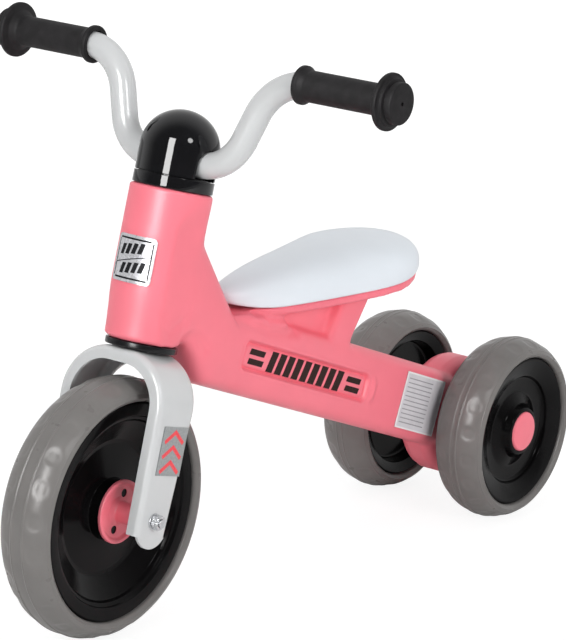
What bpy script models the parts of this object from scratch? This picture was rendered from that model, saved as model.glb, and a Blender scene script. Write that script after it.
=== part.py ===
"""Toddler balance trike, modelled at its real size in metres, +Z up.

The trike faces -Y and its rider's left is +X. It is symmetric about X = 0. The
origin is on the ground under the middle of its length. The steering parts hang
from an empty on the raked head axis, whose own Z runs up the steerer.
"""

import math

import bmesh
import bpy
from mathutils import Matrix, Vector

# Overall layout
WHEELBASE = 0.4400
HEAD_RAKE = math.radians(14.0)
AXLE_LEAD = 0.0071
GAP = 0.0003
RUNNING_GAP = 0.0005
CHAMFER = 0.0010
JOIN = 0.0020
OVERRUN = 0.0100
EMPTY_SIZE = 0.0300

# Tyres and rims
TREAD_HALF_WIDTH = 0.0040
TYRE_SQUARENESS = 2.4
TYRE_BEAD = 0.0035
RIM_HALF_WIDTH = 0.0182
FRONT_TYRE_RADIUS = 0.0945
FRONT_SECTION_HALF_WIDTH = 0.0234
FRONT_SECTION_HEIGHT = 0.0198
FRONT_RIM_DEPTH = 0.0145
FRONT_LIP_WIDTH = 0.0120
FRONT_CONE_WIDTH = 0.0197
REAR_TYRE_RADIUS = 0.0730
REAR_SECTION_HALF_WIDTH = 0.0287
REAR_SECTION_HEIGHT = 0.0361
REAR_RIM_DEPTH = 0.0130
REAR_LIP_WIDTH = 0.0168
REAR_CONE_WIDTH = 0.0132
DISH_DEPTH = 0.0120
DISC_THICKNESS = 0.0050
WHEEL_FACETS = 36

# Front hub
FLANGE_RADIUS = 0.0233
FLANGE_INSET = 0.0014
FLANGE_LIP = 0.0022
FLANGE_THICKNESS = 0.0026
BOSS_RADIUS = 0.0076
FLANGE_HOLE_RADIUS = 0.0029
FLANGE_HOLE_CIRCLE = 0.0130
FLANGE_HOLE_ANGLE = math.radians(68.0)
FRONT_AXLE_RADIUS = 0.0030
SLEEVE_WALL = 0.0017
FRONT_NUT_RADIUS = 0.0056
FRONT_NUT_HEIGHT = 0.0048
FRONT_WASHER_RADIUS = 0.0062
WASHER_THICKNESS = 0.0012
BOLT_END = 0.0010

# Rear axle and hubs
REAR_AXLE_RADIUS = 0.0040
REAR_HUB_RADIUS = 0.0150
REAR_BUSH_WALL = 0.0030
REAR_BUSH_LENGTH = 0.0140
REAR_BUSH_FLANGE = 0.0105
BUSH_FLANGE_THICKNESS = 0.0015
REAR_NUT_RADIUS = 0.0073
REAR_NUT_HEIGHT = 0.0060
REAR_WASHER_RADIUS = 0.0080
CAP_RADIUS = 0.0159
CAP_PROUD = 0.0034
CAP_WALL = 0.0020
CAP_DEPTH = 0.0150
REAR_TYRE_CLEARANCE = 0.0104

# Steering, along the head axis
CROWN_CLEARANCE = 0.0204
LOWER_COLLAR_HEIGHT = 0.0054
HEAD_TUBE_LENGTH = 0.1107
HEAD_TUBE_TAPER_LENGTH = 0.0447
UPPER_COLLAR_HEIGHT = 0.0089
BAR_ABOVE_SEAM = 0.0149
BAR_RISE = 0.0654
DOME_ABOVE_BAR = 0.0045
DOME_RISE = 0.0281
HEAD_TUBE_RADIUS = 0.0300
HEAD_TUBE_NARROWING = 0.0026
HEAD_FLAT_BELOW_TOP = 0.0190
HEAD_FLAT_FADE = 0.0160
LOWER_COLLAR_INSET = 0.0014
UPPER_COLLAR_INSET = 0.0010
BUSH_WALL = 0.0040
BUSH_DEPTH = 0.0240
STEERER_RADIUS = 0.0127
STEERER_WALL = 0.0015
STEERER_BELOW_CROWN = 0.0080
STEERER_BELOW_BAR = 0.0035
STEM_WALL = 0.0015
STEM_DEPTH = 0.0560
STEM_BOLT_RADIUS = 0.0040
STEM_WASHER_RADIUS = 0.0075
WEDGE_HEIGHT = 0.0140
WEDGE_TAPER = 0.0012
BOLT_HEAD_RADIUS = 0.0065
BOLT_HEAD_HEIGHT = 0.0055

# Handlebar, grips and head cap
BAR_RADIUS = 0.0095
BAR_WALL = 0.0015
BAR_LOW_BEND = 0.0470
BAR_HIGH_BEND = 0.0695
BAR_LOW_FILLET = 0.0260
BEND_TO_GRIP = 0.0225
BEND_IN_GRIP = 0.0060
GRIP_LENGTH = 0.0845
GRIP_RADIUS = 0.0112
GRIP_MOUTH = 0.0006
GRIP_MOUTH_DEPTH = 0.0070
GRIP_INNER_FLANGE = 0.0138
GRIP_OUTER_FLANGE = 0.0202
GRIP_BUTTON_RADIUS = 0.0148
GRIP_BUTTON_LENGTH = 0.0077
GRIP_FLANGE_THICKNESS = 0.0048
GRIP_END_WALL = 0.0040
GRIP_HOLE_RADIUS = 0.0014
CAP_SHELL_INSET = 0.0002
CAP_SHELL_WALL = 0.0025
CAP_FLAT_DEPTH = 0.0045
CAP_SLOT_CLEARANCE = 0.0018

# Fork, a pressed channel bent into an upside-down U
FORK_SIDE_CLEARANCE = 0.0126
FORK_CHANNEL_DEPTH = 0.0100
FORK_FRONT_EDGE = -0.0235
FORK_REAR_EDGE = 0.0110
FORK_FRONT_FLARE = -0.015
FORK_REAR_FLARE = 0.070
FORK_SHEET = 0.0020
FORK_EDGE_ROUND = 0.0040
FORK_BEND_RADIUS = 0.0385
FORK_LEG_END = 0.0115
FORK_TONGUE_TIP = 0.0201
FORK_TONGUE_RADIUS = 0.0178
FORK_TONGUE_STEP = 0.0001

# Body moulding
BODY_HALF_WIDTH = 0.0250
BODY_EDGE_ROUND = 0.0105
BODY_TAPER_LENGTH = 0.0700
DRUM_RADIUS = 0.0480
DRUM_HALF_LENGTH = 0.0158
DRUM_PROUD = 0.0008
DRUM_EDGE_ROUND = 0.0090
BEAM_DEPTH = 0.0610
BEAM_MEETS_HEAD = 0.0107
BEAM_NOSE_SETBACK = 0.0535
BEAM_NOSE_ROUND = 0.0140
GUSSET_HALF_WIDTH = 0.0240
GUSSET_BELOW_TOP = 0.0310
GUSSET_EDGE_ROUND = 0.0150
GUSSET_SINK = 0.45
FAIRING_LENGTH = 0.0565
FAIRING_HALF_WIDTH = 0.0240
FAIRING_EDGE_ROUND = 0.0030
WEB_HALF_WIDTH = 0.0145
COLUMN_HALF_WIDTH = 0.0230
COLUMN_SETBACK = 0.0502
COLUMN_DEPTH = 0.0352
COLUMN_FRONT_LEAN = 0.545
COLUMN_REAR_LEAN = 0.0300
COLUMN_EDGE_ROUND = 0.0040
COLUMN_FOOT_ROUND = 0.0080
PANEL_START = 0.1635
PANEL_LENGTH = 0.1720
PANEL_WIDTH = 0.0220
PANEL_CORNER = 0.0055
PANEL_OFFSET = -0.0003
PANEL_RECESS = 0.0015
DECAL_THICKNESS = 0.0004
DECAL_MARGIN = 0.0025

# Seat
SEAT_BASE_HEIGHT = 0.2158
SEAT_LENGTH = 0.2280
SEAT_NOSE_SETBACK = 0.12375
SEAT_HALF_WIDTH = 0.0495
SEAT_REAR_ROUND = 0.0635
SEAT_MIDDLE_SETBACK = 0.1025
SEAT_FRONT_SHARE = 0.58
SEAT_NOSE_BLUNTNESS = 2.15
SEAT_FACETS = 36
SEAT_THICKNESS = 0.0310
SEAT_SIDE_HEIGHT = 0.0040
SEAT_NOSE_THINNING = 0.0065
SEAT_NOSE_LIFT = 0.0070
SEAT_NOSE_LIFT_LENGTH = 0.0500
SEAT_CROWN = 2.4
SEAT_UNDER_SHARE = 0.975
SEAT_REAR_LIFT = 0.0080
SEAT_LIFT_LENGTH = 0.0975
TRAY_SHARE = 0.972
TRAY_THICKNESS = 0.0065
SEAT_SCREW_RADIUS = 0.0020
SEAT_SCREW_HEAD = 0.0040
SEAT_SCREW_HEAD_HEIGHT = 0.0022
SEAT_SCREW_REACH = 0.0100
SEAT_SCREW_X = 0.0320
SEAT_SCREW_SETBACK = 0.0645

# Foils
BADGE_WIDTH = 0.0340
BADGE_HEIGHT = 0.0335
BADGE_RISE = 0.0407
BADGE_THICKNESS = 0.0010
LABEL_START = 0.0500
LABEL_LENGTH = 0.0620
LABEL_WIDTH = 0.0450
STICKER_WIDTH = 0.0275
STICKER_SETBACK = 0.0045
STICKER_LOW = 0.0330
STICKER_HEIGHT = 0.0350

# Places and sizes that follow from the ones above
LENGTH = WHEELBASE + FRONT_TYRE_RADIUS + REAR_TYRE_RADIUS
FRONT_AXLE_Y = FRONT_TYRE_RADIUS - LENGTH / 2
REAR_AXLE_Y = LENGTH / 2 - REAR_TYRE_RADIUS
HEAD_FOOT = Vector((0.0,
                    FRONT_AXLE_Y + AXLE_LEAD * math.cos(HEAD_RAKE),
                    FRONT_TYRE_RADIUS - AXLE_LEAD * math.sin(HEAD_RAKE)))

FRONT_RIM_RADIUS = FRONT_TYRE_RADIUS - FRONT_RIM_DEPTH
FRONT_DISH_RADIUS = FRONT_RIM_RADIUS - FRONT_LIP_WIDTH
FRONT_DISC_RADIUS = FRONT_DISH_RADIUS - FRONT_CONE_WIDTH
REAR_RIM_RADIUS = REAR_TYRE_RADIUS - REAR_RIM_DEPTH
REAR_DISH_RADIUS = REAR_RIM_RADIUS - REAR_LIP_WIDTH
REAR_DISC_RADIUS = REAR_DISH_RADIUS - REAR_CONE_WIDTH
REAR_TRACK_HALF = DRUM_HALF_LENGTH + REAR_TYRE_CLEARANCE + REAR_SECTION_HALF_WIDTH
REAR_BUSH_BORE = REAR_AXLE_RADIUS + RUNNING_GAP
REAR_BUSH_RADIUS = REAR_BUSH_BORE + REAR_BUSH_WALL

SLEEVE_RADIUS = FRONT_AXLE_RADIUS + GAP + SLEEVE_WALL
FLANGE_FACE = RIM_HALF_WIDTH - FLANGE_INSET
FLANGE_SEAT = FLANGE_FACE - FLANGE_THICKNESS
FORK_HALF_WIDTH = FRONT_SECTION_HALF_WIDTH + FORK_SIDE_CLEARANCE + FORK_CHANNEL_DEPTH

# Heights up the head axis, from its foot beside the front axle
CROWN_TOP = FRONT_TYRE_RADIUS + CROWN_CLEARANCE
HEAD_TUBE_LOW = CROWN_TOP + LOWER_COLLAR_HEIGHT
HEAD_TUBE_HIGH = HEAD_TUBE_LOW + HEAD_TUBE_LENGTH
SEAM_HEIGHT = HEAD_TUBE_HIGH + UPPER_COLLAR_HEIGHT
BAR_HEIGHT = SEAM_HEIGHT + BAR_ABOVE_SEAM
GRIP_HEIGHT = BAR_HEIGHT + BAR_RISE
DOME_START = BAR_HEIGHT + DOME_ABOVE_BAR
DOME_TOP = DOME_START + DOME_RISE
BADGE_LOW = HEAD_TUBE_LOW + BADGE_RISE

HEAD_TUBE_LOW_RADIUS = HEAD_TUBE_RADIUS - HEAD_TUBE_NARROWING
LOWER_COLLAR_RADIUS = HEAD_TUBE_LOW_RADIUS - LOWER_COLLAR_INSET
UPPER_COLLAR_RADIUS = HEAD_TUBE_RADIUS - UPPER_COLLAR_INSET
CAP_SHELL_RADIUS = UPPER_COLLAR_RADIUS - CAP_SHELL_INSET
CAP_FLAT_X = CAP_SHELL_RADIUS - CAP_FLAT_DEPTH
BUSH_RADIUS = STEERER_RADIUS + GAP + BUSH_WALL
STEM_RADIUS = STEERER_RADIUS - STEERER_WALL - GAP

GRIP_START = BAR_HIGH_BEND + BEND_TO_GRIP
GRIP_END = GRIP_START + GRIP_LENGTH
BAR_END = GRIP_END - GRIP_END_WALL - GAP
BAR_TURN = math.atan2(BAR_RISE, BAR_HIGH_BEND - BAR_LOW_BEND)
BAR_HIGH_FILLET = (BEND_TO_GRIP + BEND_IN_GRIP) / math.tan(BAR_TURN / 2)

BODY_REAR_HALF_WIDTH = DRUM_HALF_LENGTH - DRUM_PROUD
BEAM_HALF = BEAM_DEPTH / 2
BEAM_MEET = HEAD_FOOT + (HEAD_TUBE_LOW + BEAM_MEETS_HEAD) * Vector((0.0, math.sin(HEAD_RAKE),
                                                                    math.cos(HEAD_RAKE)))
BEAM_RUN = REAR_AXLE_Y - BEAM_MEET.y
BEAM_CLIMB = BEAM_MEET.z - REAR_TYRE_RADIUS
BEAM_DROP = math.atan2(BEAM_CLIMB, BEAM_RUN)
BEAM_REACH = math.hypot(BEAM_RUN, BEAM_CLIMB) - BEAM_NOSE_SETBACK
SEAT_NOSE_Y = FRONT_AXLE_Y + SEAT_NOSE_SETBACK
SEAT_REAR_Y = SEAT_NOSE_Y + SEAT_LENGTH
SEAT_WIDEST_Y = SEAT_REAR_Y - SEAT_REAR_ROUND
SEAT_MIDDLE_Y = SEAT_REAR_Y - SEAT_MIDDLE_SETBACK
SEAT_LIFT_START = SEAT_REAR_Y - SEAT_LIFT_LENGTH
SEAT_SCREW_Y = SEAT_REAR_Y - SEAT_SCREW_SETBACK
TRAY_TOP = SEAT_BASE_HEIGHT - GAP
TRAY_BOTTOM = TRAY_TOP - TRAY_THICKNESS
FAIRING_REAR_Y = SEAT_NOSE_Y + FAIRING_LENGTH
COLUMN_FRONT_Y = FAIRING_REAR_Y + COLUMN_SETBACK

ALONG_YZ = (math.pi / 2, 0.0, math.pi / 2)
ALONG_XZ = (math.pi / 2, 0.0, 0.0)
TO_X_AXIS = (0.0, math.pi / 2, 0.0)
SIDES = (("left", 1), ("right", -1))


def clear_scene():
    for item in list(bpy.data.objects):
        bpy.data.objects.remove(item, do_unlink=True)


def collection(name):
    made = bpy.data.collections.new(name)
    bpy.context.scene.collection.children.link(made)
    return made


def material(name, colour, roughness, metallic=0.0):
    made = bpy.data.materials.new(name)
    made.use_nodes = True
    shader = made.node_tree.nodes["Principled BSDF"]
    shader.inputs["Base Color"].default_value = (*colour, 1.0)
    shader.inputs["Roughness"].default_value = roughness
    shader.inputs["Metallic"].default_value = metallic
    made.diffuse_color = (*colour, 1.0)
    return made


def put(obj, where, parent=None, location=(0, 0, 0), rotation=(0, 0, 0), look=None):
    """Links an object, hangs it from its parent and gives it its material."""
    where.objects.link(obj)
    obj.parent = parent
    obj.location = location
    obj.rotation_euler = rotation
    if look is not None:
        obj.data.materials.clear()
        obj.data.materials.append(look)
    return obj


def empty(name, location, rotation=(0, 0, 0), parent=None):
    made = bpy.data.objects.new(name, None)
    made.empty_display_size = EMPTY_SIZE
    return put(made, PARTS, parent, location, rotation)


def shade(mesh, angle=35.0):
    mesh.shade_smooth()
    mesh.set_sharp_from_angle(angle=math.radians(angle))


def hide(obj):
    obj.hide_render = True
    obj.display_type = "WIRE"
    return obj


def cylinder_mesh(name, radius, low, high, sides=24, top_radius=None):
    """A cylinder or cone about Z between two heights, a flat facet facing -X."""
    bm = bmesh.new()
    bmesh.ops.create_cone(bm, cap_ends=True, segments=sides, radius1=radius,
                          radius2=radius if top_radius is None else top_radius,
                          depth=high - low)
    bmesh.ops.rotate(bm, verts=bm.verts, matrix=Matrix.Rotation(math.pi / sides, 3, "Z"))
    bmesh.ops.translate(bm, verts=bm.verts, vec=(0, 0, (low + high) / 2))
    mesh = bpy.data.meshes.new(name)
    bm.to_mesh(mesh)
    bm.free()
    shade(mesh)
    return mesh


def box_mesh(name, low, high):
    bm = bmesh.new()
    bmesh.ops.create_cube(bm, size=1.0)
    size = Vector(high) - Vector(low)
    bmesh.ops.scale(bm, verts=bm.verts, vec=size)
    bmesh.ops.translate(bm, verts=bm.verts, vec=(Vector(high) + Vector(low)) / 2)
    mesh = bpy.data.meshes.new(name)
    bm.to_mesh(mesh)
    bm.free()
    return mesh


def turned(name, profile, steps, closed=False):
    """Turns a profile of (radius, height) points about Z with a Screw modifier.

    The points run down the outer side. A closed profile is a ring with a hole.
    """
    start = math.pi / steps
    bm = bmesh.new()
    verts = [bm.verts.new((r * math.cos(start), r * math.sin(start), z)) for r, z in profile]
    for first, second in zip(verts, verts[1:]):
        bm.edges.new((first, second))
    if closed:
        bm.edges.new((verts[-1], verts[0]))
    mesh = bpy.data.meshes.new(name)
    bm.to_mesh(mesh)
    bm.free()
    obj = bpy.data.objects.new(name, mesh)
    screw = obj.modifiers.new("turn", "SCREW")
    screw.axis = "Z"
    screw.steps = steps
    screw.render_steps = steps
    screw.use_merge_vertices = True
    screw.merge_threshold = 0.00001
    screw.use_smooth_shade = True
    return obj


def washer(name, bore, radius, low, high):
    return turned(name, [(bore, high), (radius, high), (radius, low), (bore, low)], 16, True)


def rounded(corners, segments=4, closed=True):
    """A polygon's points with each corner (x, y, radius) replaced by an arc."""
    points = []
    count = len(corners)
    for i, (x, y, radius) in enumerate(corners):
        here = Vector((x, y))
        ends = not closed and i in (0, count - 1)
        if radius <= 0 or ends:
            points.append(here)
            continue
        before = (Vector(corners[i - 1][:2]) - here).normalized()
        after = (Vector(corners[(i + 1) % count][:2]) - here).normalized()
        angle = before.angle(after)
        tangent = radius / math.tan(angle / 2)
        centre = here + (before + after).normalized() * radius / math.sin(angle / 2)
        first = here + before * tangent - centre
        last = here + after * tangent - centre
        sweep = first.angle_signed(last)
        for step in range(segments + 1):
            turn = -sweep * step / segments
            points.append(centre + Vector((first.x * math.cos(turn) - first.y * math.sin(turn),
                                           first.x * math.sin(turn) + first.y * math.cos(turn))))
    return points


def curve_object(name, splines, dimensions="3D", cyclic=False):
    data = bpy.data.curves.new(name, "CURVE")
    data.dimensions = dimensions
    for points in splines:
        spline = data.splines.new("POLY")
        spline.points.add(len(points) - 1)
        for point, place in zip(spline.points, points):
            place = tuple(place) + (0.0,) * (3 - len(place))
            point.co = (*place, 1.0)
        spline.use_cyclic_u = cyclic
    return bpy.data.objects.new(name, data)


def as_mesh(obj):
    """The mesh that a curve evaluates to, its caps welded on, in place of the curve."""
    bpy.context.scene.collection.objects.link(obj)
    graph = bpy.context.evaluated_depsgraph_get()
    mesh = bpy.data.meshes.new_from_object(obj.evaluated_get(graph))
    name = obj.name
    bpy.data.objects.remove(obj, do_unlink=True)
    bm = bmesh.new()
    bm.from_mesh(mesh)
    bmesh.ops.remove_doubles(bm, verts=bm.verts, dist=0.00001)
    bmesh.ops.dissolve_limit(bm, angle_limit=0.0005, verts=bm.verts, edges=bm.edges)
    bmesh.ops.recalc_face_normals(bm, faces=bm.faces)
    bm.to_mesh(mesh)
    bm.free()
    return bpy.data.objects.new(name, mesh)


def plate(name, outline, half_thickness, bevel=0.0, segments=3):
    """A flat outline in XY, thickened both ways along Z, the rims of its two faces rounded."""
    curve = curve_object(name, [outline], "2D", True)
    curve.data.fill_mode = "BOTH"
    curve.data.extrude = half_thickness
    obj = as_mesh(curve)
    if bevel:
        round_edges(obj, bevel, segments, lambda one, other: abs(one.z - other.z) < half_thickness)
    return obj


def round_edges(obj, width, segments, chosen):
    """Rounds the edges whose two ends pass a test."""
    mesh = obj.data
    weights = mesh.attributes.new("bevel_weight_edge", "FLOAT", "EDGE")
    for edge in mesh.edges:
        ends = [mesh.vertices[index].co for index in edge.vertices]
        weights.data[edge.index].value = 1.0 if chosen(*ends) else 0.0
    rim = obj.modifiers.new("rim", "BEVEL")
    rim.width = width
    rim.segments = segments
    rim.limit_method = "WEIGHT"


def boolean(obj, operation, *others):
    for other in others:
        step = obj.modifiers.new(operation.lower() + " " + other.name, "BOOLEAN")
        step.operation = operation
        step.solver = "EXACT"
        step.object = other


def cutter(name, mesh, parent=None, location=(0, 0, 0), rotation=(0, 0, 0)):
    return hide(put(bpy.data.objects.new(name, mesh), CUTTERS, parent, location, rotation))


def helper(obj, parent=None, location=(0, 0, 0), rotation=(0, 0, 0)):
    return hide(put(obj, CUTTERS, parent, location, rotation))


def node(name, mesh, parent, look, location=(0, 0, 0), rotation=(0, 0, 0)):
    return put(bpy.data.objects.new(name, mesh), PARTS, parent, location, rotation, look)


clear_scene()
PARTS = collection("balance trike")
CUTTERS = collection("cutters")

PINK = material("pink moulding", (0.84, 0.15, 0.20), 0.38)
WHITE = material("white seat", (0.78, 0.80, 0.84), 0.30)
PAINT = material("white paint", (0.72, 0.73, 0.73), 0.18)
GLOSS_BLACK = material("gloss black", (0.006, 0.006, 0.008), 0.12)
SATIN_BLACK = material("satin black", (0.030, 0.029, 0.032), 0.50)
TYRE_GREY = material("grey tyre", (0.16, 0.15, 0.145), 0.42)
STEEL = material("zinc steel", (0.62, 0.63, 0.65), 0.30, 1.0)
NYLON = material("white nylon", (0.65, 0.65, 0.62), 0.45)
FOIL = material("silver foil", (0.63, 0.63, 0.65), 0.28, 0.9)
INK = material("dark ink", (0.035, 0.018, 0.016), 0.45)

# Empties on the joints' axes and along the beam
STEERING = empty("steering axis", HEAD_FOOT, (-HEAD_RAKE, 0, 0))
FRONT_AXLE = empty("front axle line", (0, -AXLE_LEAD, 0), (HEAD_RAKE, 0, 0), STEERING)
REAR_AXLE = empty("rear axle line", (0, REAR_AXLE_Y, REAR_TYRE_RADIUS))
BEAM = empty("beam line", (0, 0, 0), (-BEAM_DROP, 0, 0), REAR_AXLE)


# Body moulding

def on_beam(along, up):
    """A (Y, Z) point from the rear axle, along the beam forwards and square to it."""
    y = REAR_AXLE_Y - along * math.cos(BEAM_DROP) + up * math.sin(BEAM_DROP)
    z = REAR_TYRE_RADIUS + along * math.sin(BEAM_DROP) + up * math.cos(BEAM_DROP)
    return y, z


def on_head(back, up):
    """A (Y, Z) point from the head axis, square to it and up it."""
    y = HEAD_FOOT.y + back * math.cos(HEAD_RAKE) + up * math.sin(HEAD_RAKE)
    z = HEAD_FOOT.z - back * math.sin(HEAD_RAKE) + up * math.cos(HEAD_RAKE)
    return y, z


def beam_top_height(y):
    """The height of the beam's top line at this Y."""
    y0, z0 = on_beam(0, BEAM_HALF)
    return z0 - (y - y0) * math.tan(BEAM_DROP)


def beam_top_y(z):
    """The Y where the beam's top line reaches this height."""
    y0, z0 = on_beam(0, BEAM_HALF)
    return y0 + (z0 - z) / math.tan(BEAM_DROP)


# The beam and the lower neck
neck_low = HEAD_TUBE_LOW + 2 * JOIN
beam_top = TRAY_TOP - CHAMFER
beam_top_start = beam_top_y(beam_top)
beam_top_end = min(SEAT_NOSE_Y - 2 * JOIN, beam_top_start - CHAMFER)
beam_profile = [
    (*on_head(0.0, neck_low + JOIN), 0),
    (*on_head(HEAD_TUBE_LOW_RADIUS - JOIN - CHAMFER, neck_low), 0),
    (*on_beam(BEAM_REACH, -BEAM_HALF), BEAM_NOSE_ROUND),
    (*on_beam(BODY_TAPER_LENGTH, -BEAM_HALF), 0),
    (*on_beam(0, -BEAM_HALF), 0),
    (*on_beam(0, BEAM_HALF), 0),
    (*on_beam(BODY_TAPER_LENGTH, BEAM_HALF), 0),
    (beam_top_start, beam_top, 0),
    (beam_top_end, beam_top, 0),
    (*on_head(0.0, HEAD_TUBE_HIGH - GUSSET_BELOW_TOP - OVERRUN), 0),
]
body = plate("body_shell", rounded(beam_profile), BODY_HALF_WIDTH, BODY_EDGE_ROUND, 4)
put(body, PARTS, None, (0, 0, 0), ALONG_YZ, PINK)


def narrow_rear_end(mesh):
    """Splits the sides where the taper starts, and draws the beam's rear end in."""
    start = Vector((*on_beam(BODY_TAPER_LENGTH, 0), 0))
    forwards = Vector((-math.cos(BEAM_DROP), math.sin(BEAM_DROP), 0))
    bm = bmesh.new()
    bm.from_mesh(mesh)
    bmesh.ops.bisect_plane(bm, geom=bm.verts[:] + bm.edges[:] + bm.faces[:], dist=0.00001,
                           plane_co=start, plane_no=forwards)
    for vert in bm.verts:
        behind = (start - vert.co).dot(forwards)
        if behind > CHAMFER:
            vert.co.z -= math.copysign(BODY_HALF_WIDTH - BODY_REAR_HALF_WIDTH, vert.co.z)
    bm.to_mesh(mesh)
    bm.free()


# The gusset between the head tube and the seat's nose
gusset_height = HEAD_TUBE_HIGH - GUSSET_BELOW_TOP
gusset_top = Vector(on_head(HEAD_TUBE_RADIUS - 2 * JOIN, gusset_height))
gusset_low = Vector((SEAT_NOSE_Y - CHAMFER, TRAY_TOP + CHAMFER))
gusset_end = gusset_low + (gusset_low - gusset_top) * GUSSET_SINK
gusset_profile = [
    Vector(on_head(0.0, gusset_height + 4 * JOIN)),
    gusset_top,
    gusset_end,
    Vector(on_head(0.0, HEAD_TUBE_LOW + HEAD_TUBE_RADIUS)),
]
gusset = helper(plate("gusset", gusset_profile, GUSSET_HALF_WIDTH, GUSSET_EDGE_ROUND, 4),
                None, (0, 0, 0), ALONG_YZ)

# The fairing closes the wedge between the beam and the tray, and ends in a step
fairing_front_y = SEAT_NOSE_Y + OVERRUN
fairing_foot = beam_top_height(FAIRING_REAR_Y) - BEAM_HALF / 2
fairing_profile = [
    (fairing_front_y, TRAY_BOTTOM + JOIN),
    (fairing_front_y, TRAY_BOTTOM - BEAM_HALF),
    (FAIRING_REAR_Y + 2 * JOIN + CHAMFER, fairing_foot),
    (FAIRING_REAR_Y, TRAY_BOTTOM + JOIN),
]
fairing = helper(plate("seat fairing", [Vector(point) for point in fairing_profile],
                       FAIRING_HALF_WIDTH, FAIRING_EDGE_ROUND, 2), None, (0, 0, 0), ALONG_YZ)

head_profile = [
    (0.0, HEAD_TUBE_HIGH),
    (HEAD_TUBE_RADIUS - CHAMFER, HEAD_TUBE_HIGH),
    (HEAD_TUBE_RADIUS, HEAD_TUBE_HIGH - CHAMFER),
    (HEAD_TUBE_RADIUS, HEAD_TUBE_LOW + HEAD_TUBE_TAPER_LENGTH),
    (HEAD_TUBE_RADIUS - HEAD_TUBE_NARROWING / 3, HEAD_TUBE_LOW + HEAD_TUBE_TAPER_LENGTH / 2),
    (HEAD_TUBE_LOW_RADIUS, HEAD_TUBE_LOW + 3 * CHAMFER),
    (HEAD_TUBE_LOW_RADIUS - 2 * CHAMFER, HEAD_TUBE_LOW),
    (0.0, HEAD_TUBE_LOW),
]
head_tube = helper(turned("head tube", head_profile, 36), STEERING)

# Flats on the head tube's sides, which run on from the gusset and fade out at the top
flat_x = GUSSET_HALF_WIDTH + GAP
flat_low = HEAD_TUBE_LOW - OVERRUN
flat_top = HEAD_TUBE_HIGH - HEAD_FLAT_BELOW_TOP
flat_outside = HEAD_TUBE_RADIUS + OVERRUN
for side, sign in SIDES:
    flat_profile = [
        Vector((sign * flat_x, flat_low)),
        Vector((sign * flat_x, flat_top)),
        Vector((sign * (HEAD_TUBE_RADIUS + CHAMFER), flat_top + HEAD_FLAT_FADE)),
        Vector((sign * flat_outside, flat_top + HEAD_FLAT_FADE)),
        Vector((sign * flat_outside, flat_low)),
    ]
    flat = helper(plate("head flat " + side, flat_profile, flat_outside), STEERING,
                  (0, 0, 0), ALONG_XZ)
    boolean(head_tube, "DIFFERENCE", flat)

drum_mesh = cylinder_mesh("rear drum", DRUM_RADIUS, -DRUM_HALF_LENGTH, DRUM_HALF_LENGTH, 36)
drum = bpy.data.objects.new("rear drum", drum_mesh)
round_edges(drum, DRUM_EDGE_ROUND, 3, lambda one, other: abs(one.z - other.z) < DRUM_HALF_LENGTH)
helper(drum, REAR_AXLE, (0, 0, 0), TO_X_AXIS)

# Under the seat a thin web joins the fairing to a leaning column
web_front_y = FAIRING_REAR_Y - OVERRUN
web_rear_y = COLUMN_FRONT_Y + OVERRUN
web_profile = [
    (web_front_y, TRAY_BOTTOM + JOIN),
    (web_front_y, beam_top_height(FAIRING_REAR_Y) - 2 * OVERRUN),
    (web_rear_y, beam_top_height(COLUMN_FRONT_Y) - 2 * OVERRUN),
    (web_rear_y + COLUMN_REAR_LEAN, TRAY_BOTTOM + JOIN),
]
web = helper(plate("seat web", [Vector(point) for point in web_profile], WEB_HALF_WIDTH),
             None, (0, 0, 0), ALONG_YZ)
column_low = beam_top_height(COLUMN_FRONT_Y) - OVERRUN - 2 * JOIN
column_high = TRAY_BOTTOM + JOIN
column_height = column_high - column_low
column_foot = COLUMN_FRONT_Y + COLUMN_DEPTH
column_profile = [
    (COLUMN_FRONT_Y, column_low, 0),
    (column_foot, column_low - OVERRUN - JOIN, 0),
    (column_foot + CHAMFER, beam_top_height(column_foot) + JOIN, COLUMN_FOOT_ROUND),
    (column_foot + COLUMN_REAR_LEAN, column_high, 0),
    (COLUMN_FRONT_Y + COLUMN_FRONT_LEAN * column_height, column_high, 0),
]
column = helper(plate("seat column", rounded(column_profile), COLUMN_HALF_WIDTH,
                      COLUMN_EDGE_ROUND, 2), None, (0, 0, 0), ALONG_YZ)


# The seat's outline is a blunt parabola from the nose to the widest place, then an ellipse

def seat_edge(turn):
    """A point of the outline. The turn runs from 0 at the nose to 1 at the rear."""
    if turn < SEAT_FRONT_SHARE:
        share = turn / SEAT_FRONT_SHARE
        return (SEAT_HALF_WIDTH * share,
                SEAT_NOSE_Y + (SEAT_WIDEST_Y - SEAT_NOSE_Y) * share ** SEAT_NOSE_BLUNTNESS)
    angle = math.pi / 2 * (turn - SEAT_FRONT_SHARE) / (1 - SEAT_FRONT_SHARE)
    return (SEAT_HALF_WIDTH * math.cos(angle),
            SEAT_WIDEST_Y + (SEAT_REAR_Y - SEAT_WIDEST_Y) * math.sin(angle))


def seat_lift(y):
    """How far the seat curls up towards its rear end."""
    share = max(0.0, y - SEAT_LIFT_START) / (SEAT_REAR_Y - SEAT_LIFT_START)
    return SEAT_REAR_LIFT * share ** 2


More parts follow.
